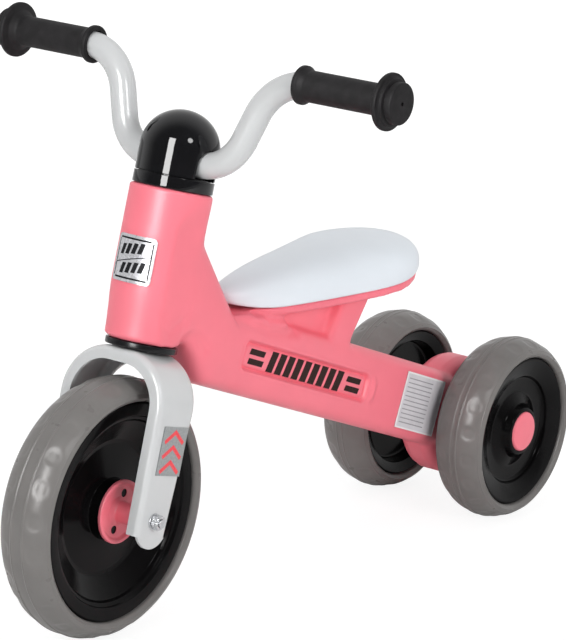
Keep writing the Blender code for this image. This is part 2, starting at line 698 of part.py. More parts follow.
def saddle_form(name, section, top, bottom):
    """A sphere whose rings are laid on the seat's outline.

    The section lists each ring's (share of the outline, height) from the top
    down. The two poles lie at the heights top and bottom.
    """
    rings = len(section) + 1
    bm = bmesh.new()
    bmesh.ops.create_uvsphere(bm, u_segments=SEAT_FACETS, v_segments=rings, radius=1.0)
    for vert in bm.verts:
        ring = round(math.acos(max(-1.0, min(1.0, vert.co.z))) / math.pi * rings)
        turn = math.atan2(vert.co.x, -vert.co.y) / math.pi
        if ring == 0 or ring == rings:
            x, y, height = 0.0, SEAT_MIDDLE_Y, top if ring == 0 else bottom
        else:
            share, height = section[ring - 1]
            edge_x, edge_y = seat_edge(abs(turn))
            x = math.copysign(edge_x * share, turn)
            y = SEAT_MIDDLE_Y + (edge_y - SEAT_MIDDLE_Y) * share
        vert.co = (x, y, height + seat_lift(y))
    bmesh.ops.recalc_face_normals(bm, faces=bm.faces)
    mesh = bpy.data.meshes.new(name)
    bm.to_mesh(mesh)
    bm.free()
    shade(mesh)
    return bpy.data.objects.new(name, mesh)


FLAT_RINGS = (0.35, 0.65, 0.92)
tray_section = [(share, TRAY_TOP) for share in FLAT_RINGS]
tray_section += [
    (TRAY_SHARE - 0.008, TRAY_TOP - CHAMFER / 5),
    (TRAY_SHARE, TRAY_TOP - 1.5 * CHAMFER),
    (TRAY_SHARE - 0.004, TRAY_BOTTOM + 1.5 * CHAMFER),
    (TRAY_SHARE - 0.020, TRAY_BOTTOM),
]
tray_section += [(share, TRAY_BOTTOM) for share in reversed(FLAT_RINGS[:2])]
tray = helper(saddle_form("seat tray", tray_section, TRAY_TOP, TRAY_BOTTOM))

narrow_rear_end(body.data)
boolean(body, "UNION", head_tube, gusset, fairing, drum, web, column, tray)

# Bores and recesses of the body
head_bore = cutter("head bore", cylinder_mesh("head bore", BUSH_RADIUS + GAP,
                                              HEAD_TUBE_LOW - OVERRUN,
                                              HEAD_TUBE_HIGH + OVERRUN, 24), STEERING)
axle_bore = cutter("axle bore", cylinder_mesh("axle bore", REAR_AXLE_RADIUS + GAP,
                                              -DRUM_HALF_LENGTH - OVERRUN,
                                              DRUM_HALF_LENGTH + OVERRUN, 16),
                   REAR_AXLE, (0, 0, 0), TO_X_AXIS)
boolean(body, "DIFFERENCE", head_bore, axle_bore)


def panel_outline(margin):
    """The side panel's outline along the beam, in the beam's own directions."""
    low = PANEL_OFFSET - PANEL_WIDTH / 2 + margin
    high = PANEL_OFFSET + PANEL_WIDTH / 2 - margin
    start = PANEL_START + margin
    end = PANEL_START + PANEL_LENGTH - margin
    corners = [(start, low), (end, low), (end, high), (start, high)]
    return rounded([(*on_beam(*corner), PANEL_CORNER) for corner in corners], 3)


screw_height = SEAT_BASE_HEIGHT + seat_lift(SEAT_SCREW_Y)
for side, sign in SIDES:
    recess = plate("panel recess " + side, panel_outline(0), PANEL_RECESS)
    helper(recess, None, (sign * BODY_HALF_WIDTH, 0, 0), ALONG_YZ)
    boolean(body, "DIFFERENCE", recess)
    hole = cutter("seat screw hole " + side,
                  cylinder_mesh("seat screw hole " + side, SEAT_SCREW_RADIUS + GAP,
                                -TRAY_THICKNESS - OVERRUN, OVERRUN, 12),
                  None, (sign * SEAT_SCREW_X, SEAT_SCREW_Y, screw_height))
    boolean(body, "DIFFERENCE", hole)
    decal = plate("side_decal_" + side, panel_outline(DECAL_MARGIN), DECAL_THICKNESS / 2)
    put(decal, PARTS, None,
        (sign * (BODY_HALF_WIDTH - PANEL_RECESS + GAP + DECAL_THICKNESS / 2), 0, 0), ALONG_YZ, INK)

# The rear label follows the left side and bends in where the taper starts
label_skin = BODY_HALF_WIDTH + GAP
taper_slope = (BODY_HALF_WIDTH - BODY_REAR_HALF_WIDTH) / BODY_TAPER_LENGTH
label_drop = taper_slope * (BODY_TAPER_LENGTH - LABEL_START)
label_outline = [
    (label_skin, -LABEL_START - LABEL_LENGTH),
    (label_skin + DECAL_THICKNESS, -LABEL_START - LABEL_LENGTH),
    (label_skin + DECAL_THICKNESS, -BODY_TAPER_LENGTH),
    (label_skin + DECAL_THICKNESS - label_drop, -LABEL_START),
    (label_skin - label_drop, -LABEL_START),
    (label_skin, -BODY_TAPER_LENGTH),
]
rear_label = plate("rear_label", [Vector(point) for point in label_outline], LABEL_WIDTH / 2)
put(rear_label, PARTS, BEAM, (0, 0, PANEL_OFFSET), (0, 0, 0), FOIL)


# Front badge, a plate curved round the head tube

def arc_points(radius, half_angle, segments):
    """Points on an arc about the head axis, centred on -Y."""
    angles = [half_angle * (2 * step / segments - 1) for step in range(segments + 1)]
    return [Vector((radius * math.sin(angle), -radius * math.cos(angle))) for angle in angles]


badge_inner = HEAD_TUBE_RADIUS + GAP
badge_angle = BADGE_WIDTH / 2 / badge_inner
badge_outline = arc_points(badge_inner, badge_angle, 8)
badge_outline += reversed(arc_points(badge_inner + BADGE_THICKNESS, badge_angle, 8))
put(plate("front_badge", badge_outline, BADGE_HEIGHT / 2), PARTS, STEERING,
    (0, 0, BADGE_LOW + BADGE_HEIGHT / 2), (0, 0, 0), FOIL)

# Seat pad and its screws
pad_rise = SEAT_THICKNESS - SEAT_SIDE_HEIGHT
pad_section = []
for step in range(1, 6):
    angle = math.pi / 2 * step / 5
    rise = pad_rise * max(0.0, math.cos(angle)) ** (2 / SEAT_CROWN)
    pad_section.append((math.sin(angle) ** (2 / SEAT_CROWN), SEAT_BASE_HEIGHT + SEAT_SIDE_HEIGHT + rise))
pad_section.append((SEAT_UNDER_SHARE, SEAT_BASE_HEIGHT))
pad_section += [(share, SEAT_BASE_HEIGHT) for share in reversed(FLAT_RINGS)]
seat = saddle_form("seat_pad", pad_section, SEAT_BASE_HEIGHT + SEAT_THICKNESS, SEAT_BASE_HEIGHT)
for vert in seat.data.vertices:
    forwards = max(0.0, SEAT_WIDEST_Y - vert.co.y) / (SEAT_WIDEST_Y - SEAT_NOSE_Y)
    above = max(0.0, vert.co.z - SEAT_BASE_HEIGHT - SEAT_SIDE_HEIGHT) / pad_rise
    near_nose = max(0.0, SEAT_NOSE_Y + SEAT_NOSE_LIFT_LENGTH - vert.co.y) / SEAT_NOSE_LIFT_LENGTH
    vert.co.z += SEAT_NOSE_LIFT * near_nose ** 2 * max(0.0, 1 - above)
    vert.co.z -= SEAT_NOSE_THINNING * above * forwards
put(seat, PARTS, None, (0, 0, 0), (0, 0, 0), WHITE)
screw_head_high = -TRAY_THICKNESS - GAP - RUNNING_GAP
screw_head_low = screw_head_high - SEAT_SCREW_HEAD_HEIGHT
for side, sign in SIDES:
    place = (sign * SEAT_SCREW_X, SEAT_SCREW_Y, screw_height)
    hole = cutter("seat pad hole " + side,
                  cylinder_mesh("seat pad hole " + side, SEAT_SCREW_RADIUS + GAP,
                                -OVERRUN, SEAT_SCREW_REACH + CHAMFER, 12), None, place)
    boolean(seat, "DIFFERENCE", hole)
    head = cutter("seat screw head " + side,
                  cylinder_mesh("seat screw head " + side, SEAT_SCREW_HEAD,
                                screw_head_low, screw_head_high, 12), None, place)
    screw = node("seat_screw_" + side,
                 cylinder_mesh("seat_screw_" + side, SEAT_SCREW_RADIUS,
                               screw_head_high - CHAMFER, SEAT_SCREW_REACH, 12),
                 None, STEEL, place)
    boolean(screw, "UNION", head)


# Head bushes, whose flanges show as the black collars

def bush_profile(flange_low, flange_high, flange_radius, sleeve_end):
    """A flanged bush about the steerer. The sleeve runs up or down into the head tube."""
    inner = STEERER_RADIUS + GAP
    if sleeve_end > flange_high:
        return [(inner, sleeve_end), (BUSH_RADIUS, sleeve_end), (BUSH_RADIUS, flange_high),
                (flange_radius, flange_high), (flange_radius, flange_low), (inner, flange_low)]
    return [(inner, flange_high), (flange_radius, flange_high), (flange_radius, flange_low),
            (BUSH_RADIUS, flange_low), (BUSH_RADIUS, sleeve_end), (inner, sleeve_end)]


lower_bush_profile = bush_profile(CROWN_TOP + RUNNING_GAP, HEAD_TUBE_LOW - GAP,
                                  LOWER_COLLAR_RADIUS, HEAD_TUBE_LOW + BUSH_DEPTH)
upper_bush_profile = bush_profile(HEAD_TUBE_HIGH + GAP, SEAM_HEIGHT,
                                  UPPER_COLLAR_RADIUS, HEAD_TUBE_HIGH - BUSH_DEPTH)
put(turned("lower_head_bush", lower_bush_profile, 28, True), PARTS, STEERING, look=SATIN_BLACK)
put(turned("upper_head_bush", upper_bush_profile, 28, True), PARTS, STEERING, look=GLOSS_BLACK)


# Fork: a solid upside-down U with its inside cut away, leaving web and two flanges

def fork_arch(inset, low):
    """Half of the arch's outline in XZ, from the top of the bend down the leg."""
    outer = FORK_HALF_WIDTH - inset
    top = CROWN_TOP - inset
    return [(0, top, 0), (outer, top, FORK_BEND_RADIUS - inset), (outer, low, 0)]


def fork_band(name, outside, inside, low, wall):
    """The arch between two insets, its front and rear leaning out towards the crown."""
    outer_half = rounded(fork_arch(outside, low), 7, False)
    inner_half = rounded(fork_arch(inside, low), 7, False)
    right = outer_half[1:] + list(reversed(inner_half[1:]))
    left = [Vector((-point.x, point.y)) for point in reversed(right)]
    made = plate(name, right + left, OVERRUN)
    for vert in made.data.vertices:
        if vert.co.z > 0:
            vert.co.z = -(FORK_FRONT_EDGE + FORK_FRONT_FLARE * vert.co.y + wall)
        else:
            vert.co.z = -(FORK_REAR_EDGE + FORK_REAR_FLARE * vert.co.y - wall)
    return made


def arch_distance(point):
    """How far inside the arch's outer line a point lies."""
    centre_x = FORK_HALF_WIDTH - FORK_BEND_RADIUS
    centre_z = CROWN_TOP - FORK_BEND_RADIUS
    if point.y < centre_z:
        return FORK_HALF_WIDTH - abs(point.x)
    if abs(point.x) < centre_x:
        return CROWN_TOP - point.y
    return FORK_BEND_RADIUS - math.hypot(abs(point.x) - centre_x, point.y - centre_z)


def on_fork_outside(first, second):
    """Whether an edge lies along the arch's outer line, but not across it or at its foot."""
    across = abs(first.z - second.z) > FORK_EDGE_ROUND
    at_foot = max(first.y, second.y) < CHAMFER - FORK_LEG_END
    outside = max(arch_distance(first), arch_distance(second)) < FORK_SHEET
    return outside and not across and not at_foot


fork = fork_band("fork", 0.0, FORK_CHANNEL_DEPTH, -FORK_LEG_END, 0.0)
round_edges(fork, FORK_EDGE_ROUND, 3, on_fork_outside)
put(fork, PARTS, STEERING, (0, 0, 0), ALONG_XZ, PAINT)
fork_inside = helper(fork_band("fork inside", FORK_SHEET, FORK_CHANNEL_DEPTH + JOIN,
                               -FORK_LEG_END - JOIN, FORK_SHEET), STEERING, (0, 0, 0), ALONG_XZ)
boolean(fork, "DIFFERENCE", fork_inside)
tongue_half = FORK_SHEET / 2 - FORK_TONGUE_STEP
for side, sign in SIDES:
    name = "fork tongue " + side
    place = (sign * (FORK_HALF_WIDTH - FORK_SHEET / 2), -AXLE_LEAD, FORK_TONGUE_RADIUS - FORK_TONGUE_TIP)
    tongue = cutter(name, cylinder_mesh(name, FORK_TONGUE_RADIUS, -tongue_half, tongue_half, 28),
                    STEERING, place, TO_X_AXIS)
    boolean(fork, "UNION", tongue)
fork_holes = cutter("fork axle holes",
                    cylinder_mesh("fork axle holes", FRONT_AXLE_RADIUS + GAP,
                                  -FORK_HALF_WIDTH - OVERRUN, FORK_HALF_WIDTH + OVERRUN, 16),
                    STEERING, (0, -AXLE_LEAD, 0), TO_X_AXIS)
crown_hole = cutter("crown hole", cylinder_mesh("crown hole", STEERER_RADIUS + GAP, CROWN_TOP - OVERRUN,
                                                CROWN_TOP + OVERRUN, 24), STEERING)
boolean(fork, "DIFFERENCE", fork_holes, crown_hole)

sticker_x = FORK_HALF_WIDTH + GAP + DECAL_THICKNESS / 2
for side, sign in SIDES:
    name = "fork_sticker_" + side
    mesh = box_mesh(name, (-DECAL_THICKNESS / 2, -STICKER_WIDTH / 2, STICKER_LOW),
                    (DECAL_THICKNESS / 2, STICKER_WIDTH / 2, STICKER_LOW + STICKER_HEIGHT))
    node(name, mesh, STEERING, FOIL,
         (sign * sticker_x, STICKER_SETBACK - AXLE_LEAD, 0))

# Steerer, a tube through the crown and both bushes
steerer_low = CROWN_TOP - STEERER_BELOW_CROWN
steerer_high = BAR_HEIGHT - BAR_RADIUS - STEERER_BELOW_BAR
steerer_profile = [
    (STEERER_RADIUS - STEERER_WALL, steerer_high),
    (STEERER_RADIUS, steerer_high),
    (STEERER_RADIUS, steerer_low),
    (STEERER_RADIUS - STEERER_WALL, steerer_low),
]
put(turned("steerer_tube", steerer_profile, 24, True), PARTS, STEERING, look=STEEL)

# Handlebar: a bent tube with a stem welded under its middle
bar_half = rounded([(0, BAR_HEIGHT, 0), (BAR_LOW_BEND, BAR_HEIGHT, BAR_LOW_FILLET),
                    (BAR_HIGH_BEND, GRIP_HEIGHT, BAR_HIGH_FILLET), (BAR_END, GRIP_HEIGHT, 0)], 6, False)
bar_points = [Vector((-point.x, 0, point.y)) for point in reversed(bar_half)]
bar_points += [Vector((point.x, 0, point.y)) for point in bar_half[1:]]


def tube(name, points, radius, resolution):
    made = curve_object(name, [points])
    made.data.bevel_depth = radius
    made.data.bevel_resolution = resolution
    made.data.use_fill_caps = True
    return as_mesh(made)


handlebar = tube("handlebar", bar_points, BAR_RADIUS, 2)
put(handlebar, PARTS, STEERING, look=PAINT)
stem_low = BAR_HEIGHT - STEM_DEPTH
stem = cutter("stem", cylinder_mesh("stem", STEM_RADIUS, stem_low, BAR_HEIGHT, 24), STEERING)
past_end = Vector((JOIN, 0, 0))
inside_points = [bar_points[0] - past_end, *bar_points[1:-1], bar_points[-1] + past_end]
bar_inside = helper(tube("bar inside", inside_points, BAR_RADIUS - BAR_WALL, 1), STEERING)
stem_inside = cutter("stem inside", cylinder_mesh("stem inside", STEM_RADIUS - STEM_WALL,
                                                  stem_low - JOIN, BAR_HEIGHT, 24), STEERING)
bolt_hole = cutter("bolt hole", cylinder_mesh("bolt hole", STEM_BOLT_RADIUS + GAP, BAR_HEIGHT - CHAMFER,
                                              BAR_HEIGHT + BAR_RADIUS + 2 * JOIN, 12), STEERING)
boolean(handlebar, "UNION", stem)
boolean(handlebar, "DIFFERENCE", bar_inside, stem_inside, bolt_hole)

# The bolt's washer sits on the bar, and its wedge under the stem
washer_low = BAR_HEIGHT + BAR_RADIUS + GAP
washer_high = washer_low + WASHER_THICKNESS
head_low = washer_high + GAP
wedge_top = stem_low - GAP
wedge_low = wedge_top - WEDGE_HEIGHT
bolt_bore = STEM_BOLT_RADIUS + GAP
bolt = node("stem_bolt", cylinder_mesh("stem_bolt", STEM_BOLT_RADIUS, wedge_low + JOIN,
                                       head_low + JOIN, 12), STEERING, STEEL)
bolt_head = cutter("stem bolt head", cylinder_mesh("stem bolt head", BOLT_HEAD_RADIUS, head_low,
                                                   head_low + BOLT_HEAD_HEIGHT, 6), STEERING)
boolean(bolt, "UNION", bolt_head)
put(washer("stem_washer", bolt_bore, STEM_WASHER_RADIUS, washer_low, washer_high),
    PARTS, STEERING, look=STEEL)
wedge_profile = [
    (bolt_bore, wedge_top),
    (STEM_RADIUS - WEDGE_TAPER, wedge_top),
    (STEM_RADIUS, wedge_low),
    (bolt_bore, wedge_low),
]
put(turned("stem_wedge", wedge_profile, 16, True), PARTS, STEERING, look=STEEL)

# Grips
button_low = GRIP_END - GRIP_BUTTON_LENGTH
flange_low = button_low - GRIP_FLANGE_THICKNESS
grip_bore = BAR_RADIUS + GAP
grip_profile = [
    (GRIP_HOLE_RADIUS, GRIP_END),
    (GRIP_BUTTON_RADIUS - 3 * CHAMFER, GRIP_END),
    (GRIP_BUTTON_RADIUS - CHAMFER / 2, GRIP_END - CHAMFER),
    (GRIP_BUTTON_RADIUS, GRIP_END - 3 * CHAMFER),
    (GRIP_BUTTON_RADIUS, button_low),
    (GRIP_BUTTON_RADIUS - 1.5 * CHAMFER, button_low - CHAMFER),
    (GRIP_OUTER_FLANGE - 1.5 * CHAMFER, flange_low + 3 * CHAMFER),
    (GRIP_OUTER_FLANGE, flange_low + 1.5 * CHAMFER),
    (GRIP_OUTER_FLANGE - CHAMFER, flange_low),
    (GRIP_RADIUS, flange_low - 5 * CHAMFER),
    (GRIP_RADIUS, GRIP_START + 7 * CHAMFER),
    (GRIP_RADIUS + CHAMFER, GRIP_START + 5 * CHAMFER),
    (GRIP_INNER_FLANGE - CHAMFER / 2, GRIP_START + 4 * CHAMFER),
    (GRIP_INNER_FLANGE, GRIP_START + 2 * CHAMFER),
    (GRIP_INNER_FLANGE - CHAMFER, GRIP_START),
    (grip_bore + GRIP_MOUTH, GRIP_START),
    (grip_bore, GRIP_START + GRIP_MOUTH_DEPTH),
    (grip_bore, GRIP_END - GRIP_END_WALL),
    (GRIP_HOLE_RADIUS, GRIP_END - GRIP_END_WALL),
]
for side, sign in SIDES:
    put(turned("grip_" + side, grip_profile, 22, True), PARTS, STEERING, (0, 0, GRIP_HEIGHT),
        (0, sign * math.pi / 2, 0), SATIN_BLACK)

# Head cap: a domed shell whose sides are cut flat and open round the bar

def dome(radius, low, top, steps):
    """Points from the crown of a dome down its side to its rim."""
    points = []
    for step in range(steps + 1):
        angle = math.pi / 2 * step / steps
        points.append((radius * math.sin(angle), DOME_START + (top - DOME_START) * math.cos(angle)))
    points.append((radius, low))
    return points


cap_low = SEAM_HEIGHT + RUNNING_GAP
cap_inside = dome(CAP_SHELL_RADIUS - CAP_SHELL_WALL, cap_low, DOME_TOP - CAP_SHELL_WALL, 4)
cap_section = dome(CAP_SHELL_RADIUS, cap_low, DOME_TOP, 6) + list(reversed(cap_inside))
cap = put(turned("head_cap", cap_section, 28), PARTS, STEERING, look=GLOSS_BLACK)
slot_radius = BAR_RADIUS + CAP_SLOT_CLEARANCE
slot_end = CAP_SHELL_RADIUS + OVERRUN
for side, sign in SIDES:
    ends = sorted((sign * CAP_FLAT_X, sign * slot_end))
    slot_box = cutter("cap slot " + side,
                      box_mesh("cap slot " + side, (ends[0], -slot_radius, cap_low - JOIN),
                               (ends[1], slot_radius, BAR_HEIGHT)), STEERING)
    slot_round = cutter("cap slot top " + side,
                        cylinder_mesh("cap slot top " + side, slot_radius, CAP_FLAT_X, slot_end, 24),
                        STEERING, (0, 0, BAR_HEIGHT), (0, sign * math.pi / 2, 0))
    boolean(cap, "DIFFERENCE", slot_box, slot_round)


# Wheels

def tyre_profile(tyre_radius, rim_radius, half_width, height):
    """The ring section of a fat tyre: a squared arc over a seat as wide as the rim."""
    tread = tyre_radius / math.cos(math.pi / WHEEL_FACETS)
    power = 2 / TYRE_SQUARENESS
    half_side = [(tread, TREAD_HALF_WIDTH)]
    steps = 5
    last = math.acos(((rim_radius + TYRE_BEAD - tyre_radius + height) / height) ** (1 / power))
    for step in range(2, steps + 1):
        angle = last * step / steps
        half_side.append((tread - height + height * math.cos(angle) ** power,
                          half_width * math.sin(angle) ** power))
    half_side.append((rim_radius + CHAMFER, RIM_HALF_WIDTH + 1.5 * CHAMFER))
    half_side.append((rim_radius + GAP, RIM_HALF_WIDTH - GAP))
    return list(reversed(half_side)) + [(r, -z) for r, z in half_side]


# Front wheel
front_wheel = empty("front wheel", (0, 0, 0), (0, 0, 0), FRONT_AXLE)
front_tyre_section = tyre_profile(FRONT_TYRE_RADIUS, FRONT_RIM_RADIUS, FRONT_SECTION_HALF_WIDTH,
                                  FRONT_SECTION_HEIGHT)
put(turned("front_tyre", front_tyre_section, WHEEL_FACETS, True), PARTS, front_wheel,
    (0, 0, 0), TO_X_AXIS, TYRE_GREY)
hub_end = FLANGE_SEAT - GAP
hub_radius = FLANGE_RADIUS - CHAMFER
boss_bore = SLEEVE_RADIUS + RUNNING_GAP
core_radius = BOSS_RADIUS + GAP + CHAMFER / 5
front_rim_profile = [
    (core_radius, hub_end),
    (hub_radius, hub_end),
    (hub_radius, DISC_THICKNESS / 2 + JOIN),
    (FRONT_DISC_RADIUS, DISC_THICKNESS / 2),
    (FRONT_DISH_RADIUS, RIM_HALF_WIDTH - 3 * CHAMFER),
    (FRONT_DISH_RADIUS + CHAMFER, RIM_HALF_WIDTH - CHAMFER),
    (FRONT_RIM_RADIUS - CHAMFER, RIM_HALF_WIDTH),
    (FRONT_RIM_RADIUS, RIM_HALF_WIDTH - CHAMFER),
]
mirrored = [(r, -z) for r, z in reversed(front_rim_profile)]
put(turned("front_rim", front_rim_profile + mirrored, WHEEL_FACETS, True), PARTS, front_wheel,
    (0, 0, 0), TO_X_AXIS, GLOSS_BLACK)

boss_end = FORK_HALF_WIDTH - FORK_SHEET - RUNNING_GAP
flange_web = FLANGE_FACE - FLANGE_LIP
flange_profile = [
    (boss_bore, boss_end),
    (BOSS_RADIUS, boss_end),
    (BOSS_RADIUS, FLANGE_FACE),
    (BOSS_RADIUS + 3 * CHAMFER, flange_web),
    (FLANGE_RADIUS - 4.5 * CHAMFER, flange_web),
    (FLANGE_RADIUS - 2.5 * CHAMFER, FLANGE_FACE),
    (FLANGE_RADIUS - CHAMFER / 2, FLANGE_FACE),
    (FLANGE_RADIUS, FLANGE_FACE - CHAMFER),
    (FLANGE_RADIUS, FLANGE_SEAT),
    (core_radius - GAP, FLANGE_SEAT),
    (core_radius - GAP, RUNNING_GAP),
    (boss_bore, RUNNING_GAP),
]
for side, sign in SIDES:
    flange = turned("front_hub_flange_" + side, flange_profile, 24, True)
    put(flange, PARTS, front_wheel, (0, 0, 0), (0, sign * math.pi / 2, 0), PINK)
    for number, turn in enumerate((0, math.pi)):
        name = "flange hole %s %d" % (side, number + 1)
        angle = FLANGE_HOLE_ANGLE + turn
        place = (sign * FLANGE_FACE, FLANGE_HOLE_CIRCLE * math.cos(angle),
                 FLANGE_HOLE_CIRCLE * math.sin(angle))
        reach = FLANGE_THICKNESS + 3 * CHAMFER
        hole = cutter(name, cylinder_mesh(name, FLANGE_HOLE_RADIUS, -reach, reach, 12),
                      front_wheel, place, TO_X_AXIS)
        boolean(flange, "DIFFERENCE", hole)

# Front axle: a bolt through both fork legs, with a sleeve between them
front_bore = FRONT_AXLE_RADIUS + GAP
sleeve_end = FORK_HALF_WIDTH - FORK_SHEET - GAP
sleeve_profile = [
    (front_bore, sleeve_end),
    (SLEEVE_RADIUS, sleeve_end),
    (SLEEVE_RADIUS, -sleeve_end),
    (front_bore, -sleeve_end),
]
put(turned("front_axle_sleeve", sleeve_profile, 20, True), PARTS, FRONT_AXLE,
    (0, 0, 0), TO_X_AXIS, STEEL)
washer_in = FORK_HALF_WIDTH + GAP
washer_out = washer_in + WASHER_THICKNESS
nut_in = washer_out + GAP
nut_out = nut_in + FRONT_NUT_HEIGHT
for side, sign in SIDES:
    put(washer("front_washer_" + side, front_bore, FRONT_WASHER_RADIUS, washer_in, washer_out),
        PARTS, FRONT_AXLE, (0, 0, 0), (0, sign * math.pi / 2, 0), STEEL)
front_bolt = node("front_axle_bolt",
                  cylinder_mesh("front_axle_bolt", FRONT_AXLE_RADIUS, -nut_in - CHAMFER,
                                nut_out + BOLT_END, 16), FRONT_AXLE, STEEL, (0, 0, 0), TO_X_AXIS)
front_head = cutter("front bolt head",
                    cylinder_mesh("front bolt head", FRONT_NUT_RADIUS, -nut_out, -nut_in, 6),
                    FRONT_AXLE, (0, 0, 0), TO_X_AXIS)
boolean(front_bolt, "UNION", front_head)
front_nut = node("front_axle_nut",
                 cylinder_mesh("front_axle_nut", FRONT_NUT_RADIUS, nut_in, nut_out, 6),
                 FRONT_AXLE, STEEL, (0, 0, 0), TO_X_AXIS)
front_nut_bore = cutter("front nut bore",
                        cylinder_mesh("front nut bore", front_bore, nut_in - JOIN, nut_out + JOIN, 16),
                        FRONT_AXLE, (0, 0, 0), TO_X_AXIS)
boolean(front_nut, "DIFFERENCE", front_nut_bore)

# Rear wheels. Heights below run outwards from the middle of each wheel
rear_bore = REAR_AXLE_RADIUS + GAP
drum_side = DRUM_HALF_LENGTH - REAR_TRACK_HALF
inner_washer_low = drum_side + GAP
inner_washer_high = inner_washer_low + WASHER_THICKNESS
bush_face = inner_washer_high + RUNNING_GAP
hub_low = bush_face + BUSH_FLANGE_THICKNESS + GAP
hub_high = RIM_HALF_WIDTH + CAP_PROUD - CAP_DEPTH
bush_outer_face = hub_high + GAP + BUSH_FLANGE_THICKNESS
outer_washer_low = bush_outer_face + RUNNING_GAP
outer_washer_high = outer_washer_low + WASHER_THICKNESS
nut_low = outer_washer_high + GAP
nut_high = nut_low + REAR_NUT_HEIGHT
hub_bore = REAR_BUSH_RADIUS + GAP
cap_socket = CAP_RADIUS + GAP
dish_floor = RIM_HALF_WIDTH - DISH_DEPTH
recess_floor = -RIM_HALF_WIDTH + DISH_DEPTH + JOIN
rear_rim_profile = [
    (hub_bore, hub_high),
    (cap_socket, hub_high),
    (cap_socket, RIM_HALF_WIDTH - 1.5 * CHAMFER),
    (cap_socket + 3 * CHAMFER, RIM_HALF_WIDTH - 2 * CHAMFER),
    (REAR_HUB_RADIUS + JOIN, RIM_HALF_WIDTH - DISH_DEPTH / 2),
    (REAR_DISC_RADIUS, dish_floor),
    (REAR_DISH_RADIUS, dish_floor + 2 * JOIN),
    (REAR_DISH_RADIUS + CHAMFER, RIM_HALF_WIDTH - 4.5 * CHAMFER),
    (REAR_RIM_RADIUS - CHAMFER, RIM_HALF_WIDTH),
    (REAR_RIM_RADIUS, RIM_HALF_WIDTH - CHAMFER),
    (REAR_RIM_RADIUS, -RIM_HALF_WIDTH + CHAMFER),
    (REAR_RIM_RADIUS - CHAMFER, -RIM_HALF_WIDTH),
    (REAR_DISH_RADIUS + 4 * JOIN, -RIM_HALF_WIDTH + 3 * CHAMFER),
    (REAR_DISH_RADIUS + 3 * JOIN, recess_floor),
    (REAR_HUB_RADIUS, recess_floor),
    (REAR_HUB_RADIUS - CHAMFER, hub_low),
    (hub_bore, hub_low),
]
cap_face = RIM_HALF_WIDTH + CAP_PROUD
cap_edge = cap_face - 2.5 * CHAMFER
cap_bottom = hub_high + GAP
cap_profile = [
    (0.0, cap_face),
    (CAP_RADIUS - 5 * CHAMFER, cap_face - CHAMFER / 2),
    (CAP_RADIUS - CHAMFER / 2, cap_face - CHAMFER),
    (CAP_RADIUS, cap_edge),
    (CAP_RADIUS, cap_bottom),
    (CAP_RADIUS - CAP_WALL, cap_bottom),
    (CAP_RADIUS - CAP_WALL, cap_edge - CAP_WALL),
    (0.0, cap_face - CHAMFER - CAP_WALL),
]
bush_in_profile = [
    (REAR_BUSH_BORE, bush_face + REAR_BUSH_LENGTH),
    (REAR_BUSH_RADIUS, bush_face + REAR_BUSH_LENGTH),
    (REAR_BUSH_RADIUS, hub_low - GAP),
    (REAR_BUSH_FLANGE, hub_low - GAP),
    (REAR_BUSH_FLANGE, bush_face),
    (REAR_BUSH_BORE, bush_face),
]
bush_out_profile = [
    (REAR_BUSH_BORE, bush_outer_face),
    (REAR_BUSH_FLANGE, bush_outer_face),
    (REAR_BUSH_FLANGE, hub_high + GAP),
    (REAR_BUSH_RADIUS, hub_high + GAP),
    (REAR_BUSH_RADIUS, bush_outer_face - REAR_BUSH_LENGTH),
    (REAR_BUSH_BORE, bush_outer_face - REAR_BUSH_LENGTH),
]
rear_tyre_section = tyre_profile(REAR_TYRE_RADIUS, REAR_RIM_RADIUS, REAR_SECTION_HALF_WIDTH,
                                 REAR_SECTION_HEIGHT)
for side, sign in SIDES:
    wheel = empty("rear wheel " + side, (sign * REAR_TRACK_HALF, 0, 0), (0, sign * math.pi / 2, 0),
                  REAR_AXLE)
    rear_pieces = [
        (turned("rear_tyre_" + side, rear_tyre_section, WHEEL_FACETS, True), TYRE_GREY),
        (turned("rear_rim_" + side, rear_rim_profile, WHEEL_FACETS, True), GLOSS_BLACK),
        (turned("rear_hub_cap_" + side, cap_profile, 24), PINK),
        (turned("rear_bush_inner_" + side, bush_in_profile, 16, True), NYLON),
        (turned("rear_bush_outer_" + side, bush_out_profile, 16, True), NYLON),
        (washer("rear_washer_inner_" + side, rear_bore, REAR_WASHER_RADIUS,
                inner_washer_low, inner_washer_high), STEEL),
        (washer("rear_washer_outer_" + side, rear_bore, REAR_WASHER_RADIUS,
                outer_washer_low, outer_washer_high), STEEL),
    ]
    for piece, look in rear_pieces:
        put(piece, PARTS, wheel, look=look)
    name = "rear_axle_nut_" + side
    nut = node(name, cylinder_mesh(name, REAR_NUT_RADIUS, nut_low, nut_high, 6), wheel, STEEL)
    name = "rear nut bore " + side
    bore = cutter(name, cylinder_mesh(name, rear_bore, nut_low - JOIN, nut_high + JOIN, 16), wheel)
    boolean(nut, "DIFFERENCE", bore)

axle_end = REAR_TRACK_HALF + nut_high + BOLT_END
node("rear_axle", cylinder_mesh("rear_axle", REAR_AXLE_RADIUS, -axle_end, axle_end, 20),
     REAR_AXLE, STEEL, (0, 0, 0), TO_X_AXIS)
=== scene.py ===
import math

import bmesh
import bpy
import numpy as np
from mathutils import Matrix, Vector


